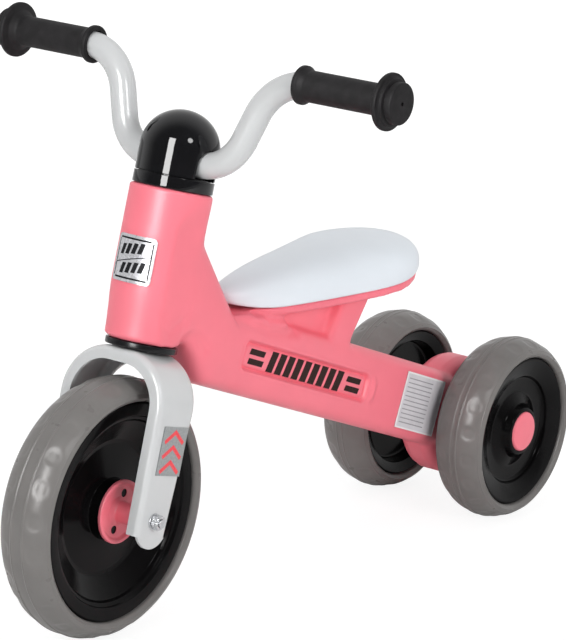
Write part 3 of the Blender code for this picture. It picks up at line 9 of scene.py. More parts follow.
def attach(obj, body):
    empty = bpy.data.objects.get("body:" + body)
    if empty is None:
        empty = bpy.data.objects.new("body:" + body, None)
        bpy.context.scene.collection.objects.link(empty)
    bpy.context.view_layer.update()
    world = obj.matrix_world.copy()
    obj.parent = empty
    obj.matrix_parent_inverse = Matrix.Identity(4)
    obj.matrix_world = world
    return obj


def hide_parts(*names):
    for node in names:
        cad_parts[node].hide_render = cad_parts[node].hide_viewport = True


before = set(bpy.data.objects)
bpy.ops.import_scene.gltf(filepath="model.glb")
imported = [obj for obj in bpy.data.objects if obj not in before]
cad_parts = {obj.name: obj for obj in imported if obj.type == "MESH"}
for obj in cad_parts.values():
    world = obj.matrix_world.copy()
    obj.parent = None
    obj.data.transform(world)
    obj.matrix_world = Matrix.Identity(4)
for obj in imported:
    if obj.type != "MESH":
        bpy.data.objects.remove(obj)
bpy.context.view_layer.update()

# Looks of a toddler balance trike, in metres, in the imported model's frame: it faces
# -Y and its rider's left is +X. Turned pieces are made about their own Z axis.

# Camera, solved from the photograph
CAMERA_AZIMUTH = math.radians(35.7)
CAMERA_ELEVATION = math.radians(15.05)
CAMERA_ROLL = math.radians(3.19)
CAMERA_TARGET = Vector((0.07013, -0.10110, 0.22767))
CAMERA_DISTANCE = 2.4023
FOCAL_PIXELS = 3370.3
PICTURE_WIDTH = 566
PICTURE_HEIGHT = 640
PRINCIPAL_POINT = (283.1, 318.0)
SENSOR = 36.0

# Layout
GAP = 0.0003
SHARP_ANGLE = 32.0
SQUARE = ((-1, -1), (1, -1), (1, 1), (-1, 1))
HEAD_RAKE = math.radians(14.0)
FRONT_AXLE = Vector((0.0, -0.20925, 0.0945))
REAR_AXLE = Vector((0.0, 0.23075, 0.0730))
AXLE_LEAD = 0.0071
HEAD_FOOT = FRONT_AXLE + AXLE_LEAD * Vector((0.0, math.cos(HEAD_RAKE), -math.sin(HEAD_RAKE)))
HEAD = Matrix.Translation(HEAD_FOOT) @ Matrix.Rotation(-HEAD_RAKE, 4, "X")
TO_LEFT = Matrix.Rotation(math.pi / 2, 4, "Y")
TO_RIGHT = Matrix.Rotation(-math.pi / 2, 4, "Y")
SIDES = (("left", 1, TO_LEFT), ("right", -1, TO_RIGHT))
ON_SIDE = Matrix.Rotation(math.pi / 2, 4, "Z") @ Matrix.Rotation(math.pi / 2, 4, "X")

# Heights up the head axis and radii about it
CROWN_TOP = 0.1149
HEAD_LOW = 0.1203
HEAD_TAPER_END = 0.1650
HEAD_HIGH = 0.2310
SEAM = 0.2399
BAR = 0.2512
GRIP = 0.3202
DOME_START = 0.2593
DOME_TOP = 0.2874
HEAD_RADIUS = 0.0300
HEAD_LOW_RADIUS = 0.0274
HEAD_FLAT = 0.0244
HEAD_FLAT_FADE = (0.2030, 0.2290)
HEAD_FLAT_SOFTNESS = 0.0018
HEAD_SIDE_FADE = (0.0185, 0.0205)
HEAD_BACK_FADE = (0.010, 0.020)
HEAD_REACH = 0.034
BORE_REACH = 0.019
CROWN_GAP = 0.0005
LOWER_COLLAR_RADIUS = 0.0260
UPPER_COLLAR_RADIUS = 0.0290
COLLAR_LIP = 0.0010
BUSH_BORE = 0.0130
BUSH_OUTSIDE = 0.0170
BUSH_DEPTH = 0.0240
CAP_RADIUS = 0.0288
CAP_WALL = 0.0025
CAP_FLAT = 0.0243
CAP_SLOT = 0.0113
CAP_SLOT_HALF = 0.0100
CAP_CHAMFER = 0.0006
SEAM_GAP = 0.0004
CAP_LOW = SEAM + SEAM_GAP

# Handlebar and grips, each bend with its place along X and its radius
BAR_RADIUS = 0.0095
BAR_LOW_BEND = (0.0457, 0.0340)
BAR_HIGH_BEND = (0.0695, 0.03995)
BAR_END = 0.1722
GRIP_START = 0.0920
GRIP_END = 0.1765
GRIP_RADIUS = 0.0112

# Fork
FORK_HALF_WIDTH = 0.0460
FORK_BEND = 0.0385
FORK_DEPTH = 0.0100
FORK_SHEET = 0.0020
FORK_CORNER = 0.0042
FORK_FRONT = -0.0235
FORK_REAR = 0.0110
FORK_FRONT_FLARE = -0.015
FORK_REAR_FLARE = 0.070
FORK_LEG_END = -0.0115
TONGUE_RADIUS = 0.0178
TONGUE_CENTRE = -0.0023
TONGUE_TIP = 0.0003
STICKER_SETBACK = 0.0045
STICKER_SKIN = 0.04672

# Body moulding
BEAM_DROP = math.radians(20.1)
BEAM_BACK = Vector((0, math.cos(BEAM_DROP), -math.sin(BEAM_DROP)))
BEAM_UP = Vector((0, math.sin(BEAM_DROP), math.cos(BEAM_DROP)))
BODY_HALF_WIDTH = 0.0250
BODY_SIDE = 0.0200
BODY_VOXEL = 0.0015
DRUM_RADIUS = 0.0480
DRUM_HALF_WIDTH = 0.0070
SOFTENING = 0.5
TRAY_SOFTENING = 0.12
FRONT_FADE = (-0.100, -0.080)
TRAY_FRONT = -0.088
TRAY_FADE = (0.2055, 0.2085)
WEB_FADE = (0.2050, 0.2075)
GROOVE_FADE = (0.014, 0.018)

# Side panels
PANEL_START = 0.1635
PANEL_LENGTH = 0.1720
PANEL_WIDTH = 0.0220
PANEL_CORNER = 0.0055
PANEL_OFFSET = -0.0003
PANEL_RECESS = 0.0015
PANEL_STEP = (-0.0008, 0.0004)
PANEL_FADE = (0.0030, 0.0045)
PANEL_GUTTER = 0.0019
PANEL_LIP = 0.0006
PANEL_RIM_REACH = 0.0022
PANEL_RIM_SIDE = 0.0205
SWELL_HEIGHT = 0.0026
SWELL_SETBACK = 0.007
SWELL_LENGTH = 0.0040
SWELL_WIDTH = 0.009

# Rear label and front badge
LABEL_START = 0.0500
LABEL_LENGTH = 0.0620
LABEL_WIDTH = 0.0450
LABEL_BEND = 0.0700
LABEL_SLOPE = 0.1430
LABEL_SKIN = BODY_HALF_WIDTH + GAP + 0.0004
LABEL_BORDER = 0.0013
LABEL_LINES = 11
LABEL_LINE_PITCH = 0.0035
BADGE_LOW = 0.1610
BADGE_HEIGHT = 0.0335
BADGE_MIDDLE = BADGE_LOW + BADGE_HEIGHT / 2
LEAN = 0.25

# Seat
SEAT_BASE = 0.2158
SEAT_NOSE_Y = -0.0855
SEAT_WIDEST_Y = 0.0790
SEAT_REAR_Y = 0.1425
SEAT_MIDDLE_Y = 0.0400
SEAT_HALF_WIDTH = 0.0495
SEAT_THICKNESS = 0.0310
SEAT_SIDE = 0.0040
SEAT_CROWN = 2.4
SEAT_NOSE_THINNING = 0.0065
SEAT_NOSE_CROWN = 2.9
SEAT_NOSE_BLUNTNESS = 2.15
SEAT_NOSE_LIFT = 0.0070
SEAT_NOSE_LIFT_LENGTH = 0.0500
SEAT_REAR_LIFT = 0.0080
SEAT_LIFT_LENGTH = 0.0975
SEAT_RIM_SMOOTHING = 10
SEAT_FOOT = ((0.999, 0.0026), (0.995, 0.0013), (0.988, 0.0004), (0.978, 0.0),
             (0.94, 0.0), (0.70, 0.0), (0.35, 0.0), (0.0, 0.0))

# Wheels
RIM_HALF_WIDTH = 0.0182
FRONT_TYRE = dict(radius=0.0945, rim=0.0800, half_width=0.0234, height=0.0198,
                  dimples=24, dimple_turn=8.6, inner_line=0.0050, outer_line=0.0209)
REAR_TYRE = dict(radius=0.0730, rim=0.0600, half_width=0.0287, height=0.0361,
                 dimples=20, dimple_turn=10.0, inner_line=0.0025, outer_line=0.0200)
REAR_TRACK_HALF = 0.0549
TYRE_SQUARENESS = 2.4
TYRE_BEAD = 0.0035
DIMPLE_DEPTH = 0.00055
DIMPLE_POWER = 2.6
DIMPLE_SIDEWAYS = 0.6
LINE_HEIGHT = 0.00055
LINE_SPREAD = 0.0006
LINE_STEP = 0.00035
HUB_HOLE_RADIUS = 0.0031
HUB_HOLE_CIRCLE = 0.0135
HUB_HOLE_TURN = math.radians(68.0)
AXLE_BORE = 0.0033

# Studio
FLOOR_HALF = 14.0
FLOOR_COLOUR = (0.86, 0.86, 0.86)
FLOOR_GLOW = 1.17
FLOOR_GLOW_SHARE = 0.75
FILL_LEVEL = 0.46
ROOM_BEHIND = 0.85
ROOM_IN_FRONT = 0.14
ROOM_FADE = (-0.45, 0.35)
LIT = Vector((0.0, 0.0, 0.20))

# Lights: name, shape, azimuth, elevation, distance, width, height, level, and whether a light
# shows in reflections alone
LIGHTS = (
    ("front softbox", "RECTANGLE", -8.0, 26.0, 2.6, 1.2, 1.2, 0.38, False),
    ("side softbox", "RECTANGLE", 76.0, 20.0, 3.2, 1.4, 1.0, 0.46, False),
    ("overhead softbox", "RECTANGLE", 10.0, 78.0, 2.4, 1.4, 1.4, 0.12, False),
    ("back softbox", "RECTANGLE", 216.0, 10.0, 2.8, 1.4, 1.2, 0.26, False),
    ("strip reflection", "RECTANGLE", 10.0, 24.5, 2.2, 0.64, 1.38, 1.10, True),
    ("round reflection", "DISK", 68.0, 38.0, 2.2, 0.50, 0.50, 0.16, True),
)


def smooth(value, low, high):
    """0 below low, 1 above high, and a soft step between them."""
    share = np.clip((np.asarray(value, float) - low) / (high - low), 0.0, 1.0)
    return share * share * (3 - 2 * share)


# Materials

def added(tree, kind, **inputs):
    """A new shader node with some of its inputs set. A _ in a name stands for a space."""
    made = tree.nodes.new("ShaderNode" + kind)
    for name, value in inputs.items():
        made.inputs[name.replace("_", " ")].default_value = value
    return made


def surface(name, colour, roughness, metallic=0.0, specular=0.5, coat=0.0, mottle=0.05,
            mottle_size=0.030, grain=0.00004, grain_size=0.0010, wave=0.0, wave_size=0.020,
            roughness_spread=0.06):
    """A moulded or painted surface: uneven colour, uneven gloss, fine grain and a soft wave."""
    made = bpy.data.materials.new(name)
    made.use_nodes = True
    tree = made.node_tree
    shader = tree.nodes["Principled BSDF"]
    shader.inputs["Metallic"].default_value = metallic
    shader.inputs["Specular IOR Level"].default_value = specular
    shader.inputs["Coat Weight"].default_value = coat
    shader.inputs["Coat Roughness"].default_value = 0.06
    place = added(tree, "TexCoord")

    def noise(size, detail):
        cloud = added(tree, "TexNoise", Scale=1.0 / size, Detail=detail)
        tree.links.new(place.outputs["Object"], cloud.inputs["Vector"])
        return cloud.outputs["Fac"]

    ramp = added(tree, "ValToRGB")
    for stop, position, share in ((0, 0.36, 1 - mottle), (1, 0.64, 1 + mottle)):
        ramp.color_ramp.elements[stop].position = position
        ramp.color_ramp.elements[stop].color = (*[min(1.0, part * share) for part in colour], 1.0)
    tree.links.new(noise(mottle_size, 3.0), ramp.inputs["Fac"])
    tree.links.new(ramp.outputs["Color"], shader.inputs["Base Color"])
    gloss = added(tree, "MapRange", From_Min=0.3, From_Max=0.7,
                  To_Min=roughness - roughness_spread / 2, To_Max=roughness + roughness_spread / 2)
    tree.links.new(noise(mottle_size * 0.6, 2.0), gloss.inputs["Value"])
    tree.links.new(gloss.outputs["Result"], shader.inputs["Roughness"])
    normal = shader.inputs["Normal"]
    for size, depth in ((grain_size, grain), (wave_size, wave)):
        if depth > 0:
            bump = added(tree, "Bump", Strength=1.0, Distance=depth)
            tree.links.new(noise(size, 2.0), bump.inputs["Height"])
            tree.links.new(bump.outputs["Normal"], normal)
            normal = bump.inputs["Normal"]
    made.diffuse_color = (*colour, 1.0)
    return made


PINK = surface("pink moulded plastic", (0.90, 0.190, 0.245), 0.40, mottle=0.025, mottle_size=0.05,
               grain=0.00003, grain_size=0.0014, wave=0.00012, wave_size=0.030)
SEAT_WHITE = surface("white seat plastic", (0.74, 0.785, 0.835), 0.32, mottle=0.012, mottle_size=0.06,
                     grain=0.00002, grain_size=0.0012)
PAINT = surface("white paint", (0.57, 0.58, 0.585), 0.22, coat=0.30, mottle=0.012, mottle_size=0.03,
                grain=0.00003, grain_size=0.0025)
GLOSS_BLACK = surface("gloss black plastic", (0.005, 0.005, 0.006), 0.05, specular=0.45, mottle=0.2,
                      grain=0.00001, grain_size=0.002, roughness_spread=0.03)
RIM_BLACK = surface("black rim plastic", (0.0038, 0.0035, 0.0038), 0.15, specular=0.09, mottle=0.25,
                    grain=0.00003, grain_size=0.0015, wave=0.00008, wave_size=0.012)
SATIN_BLACK = surface("satin black plastic", (0.007, 0.007, 0.008), 0.22, specular=0.3, mottle=0.2)
RUBBER = surface("black grip rubber", (0.0105, 0.0095, 0.0105), 0.60, specular=0.25, mottle=0.25,
                 mottle_size=0.008, grain=0.00006, grain_size=0.0007)
TYRE = surface("grey tyre rubber", (0.175, 0.167, 0.161), 0.30, specular=0.26, mottle=0.035,
               mottle_size=0.020, grain=0.00001, grain_size=0.0012, wave=0.00008,
               wave_size=0.012)
STEEL = surface("zinc steel", (0.66, 0.67, 0.69), 0.26, metallic=1.0, mottle=0.08, mottle_size=0.002,
                grain=0.00004, grain_size=0.0005)
NYLON = surface("white nylon", (0.65, 0.65, 0.62), 0.45, mottle=0.03)
FOIL = surface("silver foil", (0.55, 0.55, 0.575), 0.28, metallic=0.30, mottle=0.05, mottle_size=0.006,
               grain=0.00003, grain_size=0.0009)
STICKER_GREY = surface("grey reflective sticker", (0.33, 0.345, 0.35), 0.34, metallic=0.35, mottle=0.10,
                       mottle_size=0.0011, grain=0.00003, grain_size=0.0008)
STICKER_RED = surface("red sticker ink", (0.82, 0.055, 0.070), 0.36, mottle=0.10, mottle_size=0.001)
INK = surface("dark ink", (0.026, 0.012, 0.010), 0.50, specular=0.15, mottle=0.2, mottle_size=0.002)
BADGE_INK = surface("black badge ink", (0.008, 0.008, 0.010), 0.45, specular=0.15, mottle=0.2,
                    mottle_size=0.002)
LABEL = surface("silver label", (0.70, 0.68, 0.71), 0.34, metallic=0.10, mottle=0.05, mottle_size=0.012,
                grain=0.00003, grain_size=0.0009)
LABEL_LINE = surface("label printing", (0.34, 0.33, 0.35), 0.45, mottle=0.1, mottle_size=0.001)
LABEL_EDGE = surface("label border", (0.86, 0.85, 0.86), 0.40, mottle=0.02)


# Mesh helpers

def placed(name, data):
    """A new object in the scene."""
    made = bpy.data.objects.new(name, data)
    bpy.context.scene.collection.objects.link(made)
    return made


def around(count):
    """Evenly spaced angles of a full turn."""
    return np.arange(count) * 2 * math.pi / count


def finished(name, mesh, angle=SHARP_ANGLE):
    """Welds a mesh, turns its faces outwards, shades it smooth and makes it an object."""
    bm = bmesh.new()
    bm.from_mesh(mesh)
    bmesh.ops.remove_doubles(bm, verts=bm.verts, dist=0.000002)
    bmesh.ops.dissolve_degenerate(bm, edges=bm.edges, dist=0.000001)
    bmesh.ops.recalc_face_normals(bm, faces=bm.faces)
    bm.to_mesh(mesh)
    bm.free()
    mesh.shade_smooth()
    mesh.set_sharp_from_angle(angle=math.radians(angle))
    return placed(name, mesh)


def from_bmesh(name, bm):
    """An object made of a bmesh, which is freed."""
    mesh = bpy.data.meshes.new(name)
    bm.to_mesh(mesh)
    bm.free()
    return finished(name, mesh)


def raise_faces(bm, faces, height):
    """Raises faces along Z, with walls all round."""
    raised = bmesh.ops.extrude_face_region(bm, geom=faces)["geom"]
    bmesh.ops.translate(bm, vec=(0, 0, height),
                        verts=[item for item in raised if isinstance(item, bmesh.types.BMVert)])


def grid(name, points, close_rows=False, close_columns=False, angle=SHARP_ANGLE):
    """A surface over a grid of points, rows by columns, closed round where asked."""
    points = np.asarray(points, float)
    index = np.arange(points.shape[0] * points.shape[1]).reshape(points.shape[:2])
    if close_rows:
        index = np.vstack([index, index[:1]])
    if close_columns:
        index = np.hstack([index, index[:, :1]])
    faces = np.stack([index[:-1, :-1], index[:-1, 1:], index[1:, 1:], index[1:, :-1]], -1)
    mesh = bpy.data.meshes.new(name)
    mesh.from_pydata(points.reshape(-1, 3).tolist(), [], faces.reshape(-1, 4).tolist())
    return finished(name, mesh, angle)


def rounded(corners, segments=5, closed=True):
    """A polygon's points with each corner (x, y, radius) replaced by an arc."""
    points = []
    count = len(corners)
    for i, (x, y, radius) in enumerate(corners):
        here = Vector((x, y))
        if radius <= 0 or (not closed and i in (0, count - 1)):
            points.append(here)
            continue
        before = (Vector(corners[i - 1][:2]) - here).normalized()
        after = (Vector(corners[(i + 1) % count][:2]) - here).normalized()
        angle = before.angle(after)
        tangent = radius / math.tan(angle / 2)
        centre = here + (before + after).normalized() * radius / math.sin(angle / 2)
        first = here + before * tangent - centre
        last = here + after * tangent - centre
        sweep = first.angle_signed(last)
        for step in range(segments + 1):
            turn = -sweep * step / segments
            points.append(centre + Vector((first.x * math.cos(turn) - first.y * math.sin(turn),
                                           first.x * math.sin(turn) + first.y * math.cos(turn))))
    return points


def turned(name, profile, place, steps=96, closed=True, segments=5):
    """Turns (radius, height, rounding) corners about Z, and puts the piece in its place.

    A corner without a rounding is sharp.
    """
    corners = [tuple(corner) + (0.0,) * (3 - len(corner)) for corner in profile]
    section = rounded(corners, segments, closed)
    turns = around(steps)
    radius = np.array([point.x for point in section])[:, None]
    height = np.array([point.y for point in section])[:, None]
    points = np.stack([radius * np.cos(turns), radius * np.sin(turns),
                       np.repeat(height, steps, 1)], -1)
    made = grid(name, points, closed, True)
    made.data.transform(place)
    return made


def plate(name, outline, half_thickness, place, bevel=0.0):
    """A flat outline in XY, thickened both ways along Z."""
    bm = bmesh.new()
    face = bm.faces.new([bm.verts.new((point[0], point[1], -half_thickness)) for point in outline])
    raise_faces(bm, [face], 2 * half_thickness)
    if bevel:
        rims = [edge for edge in bm.edges
                if abs(edge.verts[0].co.z - edge.verts[1].co.z) < half_thickness]
        bmesh.ops.bevel(bm, geom=rims, offset=bevel, segments=2, affect="EDGES")
    made = from_bmesh(name, bm)
    made.data.transform(place)
    return made


def joined(name, pieces):
    """Several pieces as one."""
    bm = bmesh.new()
    for piece in pieces:
        bm.from_mesh(piece.data)
        bpy.data.objects.remove(piece, do_unlink=True)
    return from_bmesh(name, bm)


def applied(obj):
    """The object with its modifiers made part of its mesh."""
    graph = bpy.context.evaluated_depsgraph_get()
    mesh = bpy.data.meshes.new_from_object(obj.evaluated_get(graph))
    obj.modifiers.clear()
    obj.data = mesh
    return obj


def cut(obj, *others):
    """Cuts the others away from an object, and removes them."""
    for other in others:
        step = obj.modifiers.new("cut", "BOOLEAN")
        step.operation = "DIFFERENCE"
        step.solver = "EXACT"
        step.object = other
    applied(obj)
    for other in others:
        bpy.data.objects.remove(other, do_unlink=True)
    obj.data.shade_smooth()
    obj.data.set_sharp_from_angle(angle=math.radians(SHARP_ANGLE))
    weights = obj.modifiers.new("weights", "WEIGHTED_NORMAL")
    weights.keep_sharp = True
    return applied(obj)


def dress(piece, body, look, slot, *nodes):
    """Gives a piece its material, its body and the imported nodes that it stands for."""
    piece.data.materials.clear()
    piece.data.materials.append(look)
    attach(piece, body)
    if nodes:
        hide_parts(*nodes)
    return piece


# Body moulding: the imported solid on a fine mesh, its blends softened as a blown moulding's are

def along_beam(y, z):
    """How far a point is along the beam from the rear axle, and how far off its middle line."""
    back, up = y - REAR_AXLE.y, z - REAR_AXLE.z
    return (-back * math.cos(BEAM_DROP) + up * math.sin(BEAM_DROP),
            back * math.sin(BEAM_DROP) + up * math.cos(BEAM_DROP))


def line_distance(y, z, line):
    """Each point's distance from a line of (y, z) points."""
    best = np.full(len(y), 1.0)
    for (y0, z0), (y1, z1) in zip(line, line[1:]):
        dy, dz = y1 - y0, z1 - z0
        share = np.clip(((y - y0) * dy + (z - z0) * dz) / (dy * dy + dz * dz), 0, 1)
        best = np.minimum(best, np.hypot(y - y0 - share * dy, z - z0 - share * dz))
    return best


def lesser(value, limit, softness):
    """The smaller of two values, with a soft turn where they cross."""
    share = np.clip(0.5 + 0.5 * (limit - value) / softness, 0.0, 1.0)
    return limit + (value - limit) * share - softness * share * (1 - share)


def softened(points, edges, weight, rounds):
    """Moves each point towards the middle of its neighbours."""
    count = np.bincount(edges.ravel(), minlength=len(points)).astype(float)
    for _ in range(rounds):
        total = np.zeros_like(points)
        for axis in range(3):
            total[:, axis] = (np.bincount(edges[:, 0], points[edges[:, 1], axis], len(points))
                              + np.bincount(edges[:, 1], points[edges[:, 0], axis], len(points)))
        points = points + weight[:, None] * (total / count[:, None] - points)
    return points


# Soft grooves in the moulding's sides, as (y, z) lines, with their depth and width
GROOVES = (
    (((-0.064, 0.2155), (-0.058, 0.2137), (-0.051, 0.2085), (-0.030, 0.2045), (-0.012, 0.2030)),
     0.0036, 0.0036),
    (((-0.086, 0.2125), (-0.0796, 0.2105), (-0.0551, 0.1994), (-0.0276, 0.1920), (-0.018, 0.1915)),
     0.0031, 0.0040),
    (((-0.1816, 0.2356), (-0.180, 0.226), (-0.1737, 0.2208), (-0.1651, 0.2236), (-0.158, 0.2264)),
     0.0009, 0.0032),
    (((-0.163, 0.2060), (-0.156, 0.2105), (-0.1470, 0.2130), (-0.1390, 0.2105), (-0.1300, 0.2010)),
     0.0016, 0.0042),
)


def head_place(points):
    """Each point's place in the head axis's own frame, and its distance from the axis."""
    to_head = np.array(HEAD.inverted())
    local = points @ to_head[:3, :3].T + to_head[:3, 3]
    return local, np.hypot(local[:, 0], local[:, 1])


def panel_distance(points):
    """How far each point is outside a side panel's rim, less than 0 inside it."""
    along, off = along_beam(points[:, 1], points[:, 2])
    u = np.abs(along - PANEL_START - PANEL_LENGTH / 2) - PANEL_LENGTH / 2 + PANEL_CORNER
    v = np.abs(off - PANEL_OFFSET) - PANEL_WIDTH / 2 + PANEL_CORNER
    distance = np.hypot(np.maximum(u, 0), np.maximum(v, 0)) + np.minimum(np.maximum(u, v), 0)
    return distance - PANEL_CORNER


def fine_copy(name, node):
    """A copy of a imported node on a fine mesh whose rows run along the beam."""
    made = placed(name, node.data.copy())
    turn_level = Matrix.Rotation(BEAM_DROP, 4, "X")
    made.data.transform(turn_level)
    remesh = made.modifiers.new("fine mesh", "REMESH")
    remesh.mode = "VOXEL"
    remesh.voxel_size = BODY_VOXEL
    mesh = applied(made).data
    mesh.transform(turn_level.inverted())
    bpy.data.objects.remove(made, do_unlink=True)
    return mesh


def refine_panel_rims(mesh):
    """Splits the edges along the panels' rims, so that the recess has a clean edge."""
    bm = bmesh.new()
    bm.from_mesh(mesh)
    bm.edges.ensure_lookup_table()
    middles = np.array([(edge.verts[0].co + edge.verts[1].co) / 2 for edge in bm.edges])
    near = np.abs(panel_distance(middles)) < PANEL_RIM_REACH
    near &= np.abs(middles[:, 0]) > PANEL_RIM_SIDE
    chosen = [bm.edges[index] for index in np.flatnonzero(near)]
    bmesh.ops.subdivide_edges(bm, edges=chosen, cuts=1, use_grid_fill=True)
    bm.to_mesh(mesh)
    bm.free()


def soften_blends(points, edges):
    """Softens the moulding, most at the front and least at the tray, and leaves the bore."""
    local, radius = head_place(points)
    outside_bore = ~((radius < BORE_REACH) & (local[:, 2] > HEAD_LOW - 0.001))
    ends = smooth(local[:, 2], HEAD_LOW + 0.0015, HEAD_LOW + 0.008) * (
        1 - smooth(local[:, 2], HEAD_HIGH - 0.008, HEAD_HIGH - 0.0015))
    front = 1 - smooth(points[:, 1], *FRONT_FADE)
    strong = np.where(radius < HEAD_REACH, ends, 1.0) * front * outside_bore
    tray = smooth(points[:, 2], *TRAY_FADE) * (points[:, 1] > TRAY_FRONT)
    mild = SOFTENING * (1 - tray) + TRAY_SOFTENING * tray
    points = softened(points, edges, mild * outside_bore, 5)
    points = softened(points, edges, SOFTENING * strong, 26)
    middle = smooth(points[:, 1], *FRONT_FADE) * (1 - smooth(points[:, 2], *WEB_FADE))
    return softened(points, edges, SOFTENING * middle, 5)


def round_head(points):
    """Draws the head tube back to its round form, with its flat sides."""
    local, radius = head_place(points)
    wanted = HEAD_LOW_RADIUS + (HEAD_RADIUS - HEAD_LOW_RADIUS) * smooth(
        local[:, 2], HEAD_LOW, HEAD_TAPER_END)
    wall = smooth(local[:, 2], HEAD_LOW + 0.001, HEAD_LOW + 0.003)
    wall = wall * (1 - smooth(local[:, 2], HEAD_HIGH - 0.002, HEAD_HIGH - 0.001))
    wall = wall * (1 - smooth(local[:, 1], *HEAD_BACK_FADE))
    out = np.abs(local[:, 0])
    sideways = smooth(out, *HEAD_SIDE_FADE) * (radius < wanted + 0.0040)
    skin = smooth(radius, wanted - 0.0016, wanted - 0.0006) * (radius < wanted + 0.0010)
    scale = 1 + wall * skin * (1 - sideways) * (wanted / np.maximum(radius, 0.001) - 1)
    flat = HEAD_FLAT + (HEAD_RADIUS + 0.0012 - HEAD_FLAT) * smooth(local[:, 2], *HEAD_FLAT_FADE)
    round_x = np.sqrt(np.maximum(wanted ** 2 - local[:, 1] ** 2, 0.0))
    round_x = np.where(local[:, 1] > 0, np.maximum(round_x, HEAD_FLAT - 0.0004), round_x)
    shift = wall * sideways * (lesser(round_x, flat, HEAD_FLAT_SOFTNESS) - out)
    local[:, 1] *= scale
    local[:, 0] = np.sign(local[:, 0]) * (out * scale + shift)
    from_head = np.array(HEAD)
    return local @ from_head[:3, :3].T + from_head[:3, 3]


def round_drum(points):
    """Draws the drum round the rear axle back to its round form."""
    y, z = points[:, 1] - REAR_AXLE.y, points[:, 2] - REAR_AXLE.z
    radius = np.hypot(y, z)
    skin = smooth(radius, DRUM_RADIUS - 0.0012, DRUM_RADIUS - 0.0005)
    skin = skin * (radius < DRUM_RADIUS + 0.0006) * (np.abs(points[:, 0]) < DRUM_HALF_WIDTH)
    scale = 1 + skin * (DRUM_RADIUS / np.maximum(radius, 0.001) - 1)
    points[:, 1] = REAR_AXLE.y + y * scale
    points[:, 2] = REAR_AXLE.z + z * scale


def press_sides(points):
    """Presses in the side panels and the grooves, and raises a soft swell past each panel."""
    sign = np.sign(points[:, 0])
    distance = panel_distance(points)
    near = (np.abs(points[:, 0]) > BODY_SIDE) & (distance < PANEL_FADE[1])
    recess = PANEL_RECESS * (1 - smooth(distance, *PANEL_STEP))
    gutter = PANEL_GUTTER * np.exp(-((distance + 0.0018) / 0.0012) ** 2)
    lip = PANEL_LIP * np.exp(-((distance - 0.0014) / 0.0009) ** 2)
    flat = sign * (BODY_HALF_WIDTH - recess - gutter + lip)
    keep = smooth(distance, *PANEL_FADE)
    points[:, 0] = np.where(near, flat * (1 - keep) + points[:, 0] * keep, points[:, 0])
    along, off = along_beam(points[:, 1], points[:, 2])
    swell = np.exp(-((along - PANEL_START + SWELL_SETBACK) / SWELL_LENGTH) ** 2
                   - ((off - PANEL_OFFSET) / SWELL_WIDTH) ** 4)
    points[:, 0] += sign * SWELL_HEIGHT * swell * (np.abs(points[:, 0]) > BODY_SIDE)
    for line, depth, width in GROOVES:
        groove = np.exp(-(line_distance(points[:, 1], points[:, 2], line) / width) ** 2)
        points[:, 0] -= sign * depth * groove * smooth(np.abs(points[:, 0]), *GROOVE_FADE)


body_mesh = fine_copy("body_moulding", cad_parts["body_shell"])
refine_panel_rims(body_mesh)
body_points = np.zeros(len(body_mesh.vertices) * 3)
body_mesh.vertices.foreach_get("co", body_points)
body_edges = np.zeros(len(body_mesh.edges) * 2, np.int64)
body_mesh.edges.foreach_get("vertices", body_edges)
body_points = soften_blends(body_points.reshape(-1, 3), body_edges.reshape(-1, 2))
body_points = round_head(body_points)
round_drum(body_points)
press_sides(body_points)
body_mesh.vertices.foreach_set("co", body_points.ravel())
body_mesh.update()
dress(finished("body_moulding", body_mesh, 45.0), "frame", PINK, "pink_moulding", "body_shell")


# Seat

def seat_outline(count):
    """The seat's rim from the nose round by the left: a blunt parabola, then an ellipse."""
    share = np.linspace(0, 1, 200)
    nose = np.stack([
        SEAT_HALF_WIDTH * share,
        SEAT_NOSE_Y + (SEAT_WIDEST_Y - SEAT_NOSE_Y) * share ** SEAT_NOSE_BLUNTNESS], -1)
    angle = math.pi / 2 * share[1:]
    tail = np.stack([
        SEAT_HALF_WIDTH * np.cos(angle),
        SEAT_WIDEST_Y + (SEAT_REAR_Y - SEAT_WIDEST_Y) * np.sin(angle)], -1)
    left = np.vstack([nose, tail])
    whole = np.vstack([left, left[-2:0:-1] * (-1, 1)])
    steps = np.hypot(*(np.roll(whole, -1, 0) - whole).T)
    run = np.concatenate([[0], np.cumsum(steps)])
    looped = np.vstack([whole, whole[:1]])
    at = np.linspace(0, run[-1], count, endpoint=False)
    rim = np.stack([np.interp(at, run, looped[:, axis]) for axis in (0, 1)], -1)
    for _ in range(SEAT_RIM_SMOOTHING):
        rim = rim / 2 + (np.roll(rim, 1, 0) + np.roll(rim, -1, 0)) / 4
    return rim


def seat_ring(rim, share, height, above):
    """The rim drawn towards the seat's middle, at a height over the seat's base."""
    x = rim[:, 0] * share
    y = SEAT_MIDDLE_Y + (rim[:, 1] - SEAT_MIDDLE_Y) * share
    start = SEAT_REAR_Y - SEAT_LIFT_LENGTH
    lift = SEAT_REAR_LIFT * (np.maximum(y - start, 0) / SEAT_LIFT_LENGTH) ** 2
    forwards = np.maximum(SEAT_WIDEST_Y - y, 0) / (SEAT_WIDEST_Y - SEAT_NOSE_Y)
    near_nose = np.maximum(SEAT_NOSE_Y + SEAT_NOSE_LIFT_LENGTH - y, 0) / SEAT_NOSE_LIFT_LENGTH
    lift = lift + SEAT_NOSE_LIFT * near_nose ** 2 * (1 - above)
    z = SEAT_BASE + height + lift - SEAT_NOSE_THINNING * above * forwards
    return np.stack([x, y, z], -1)


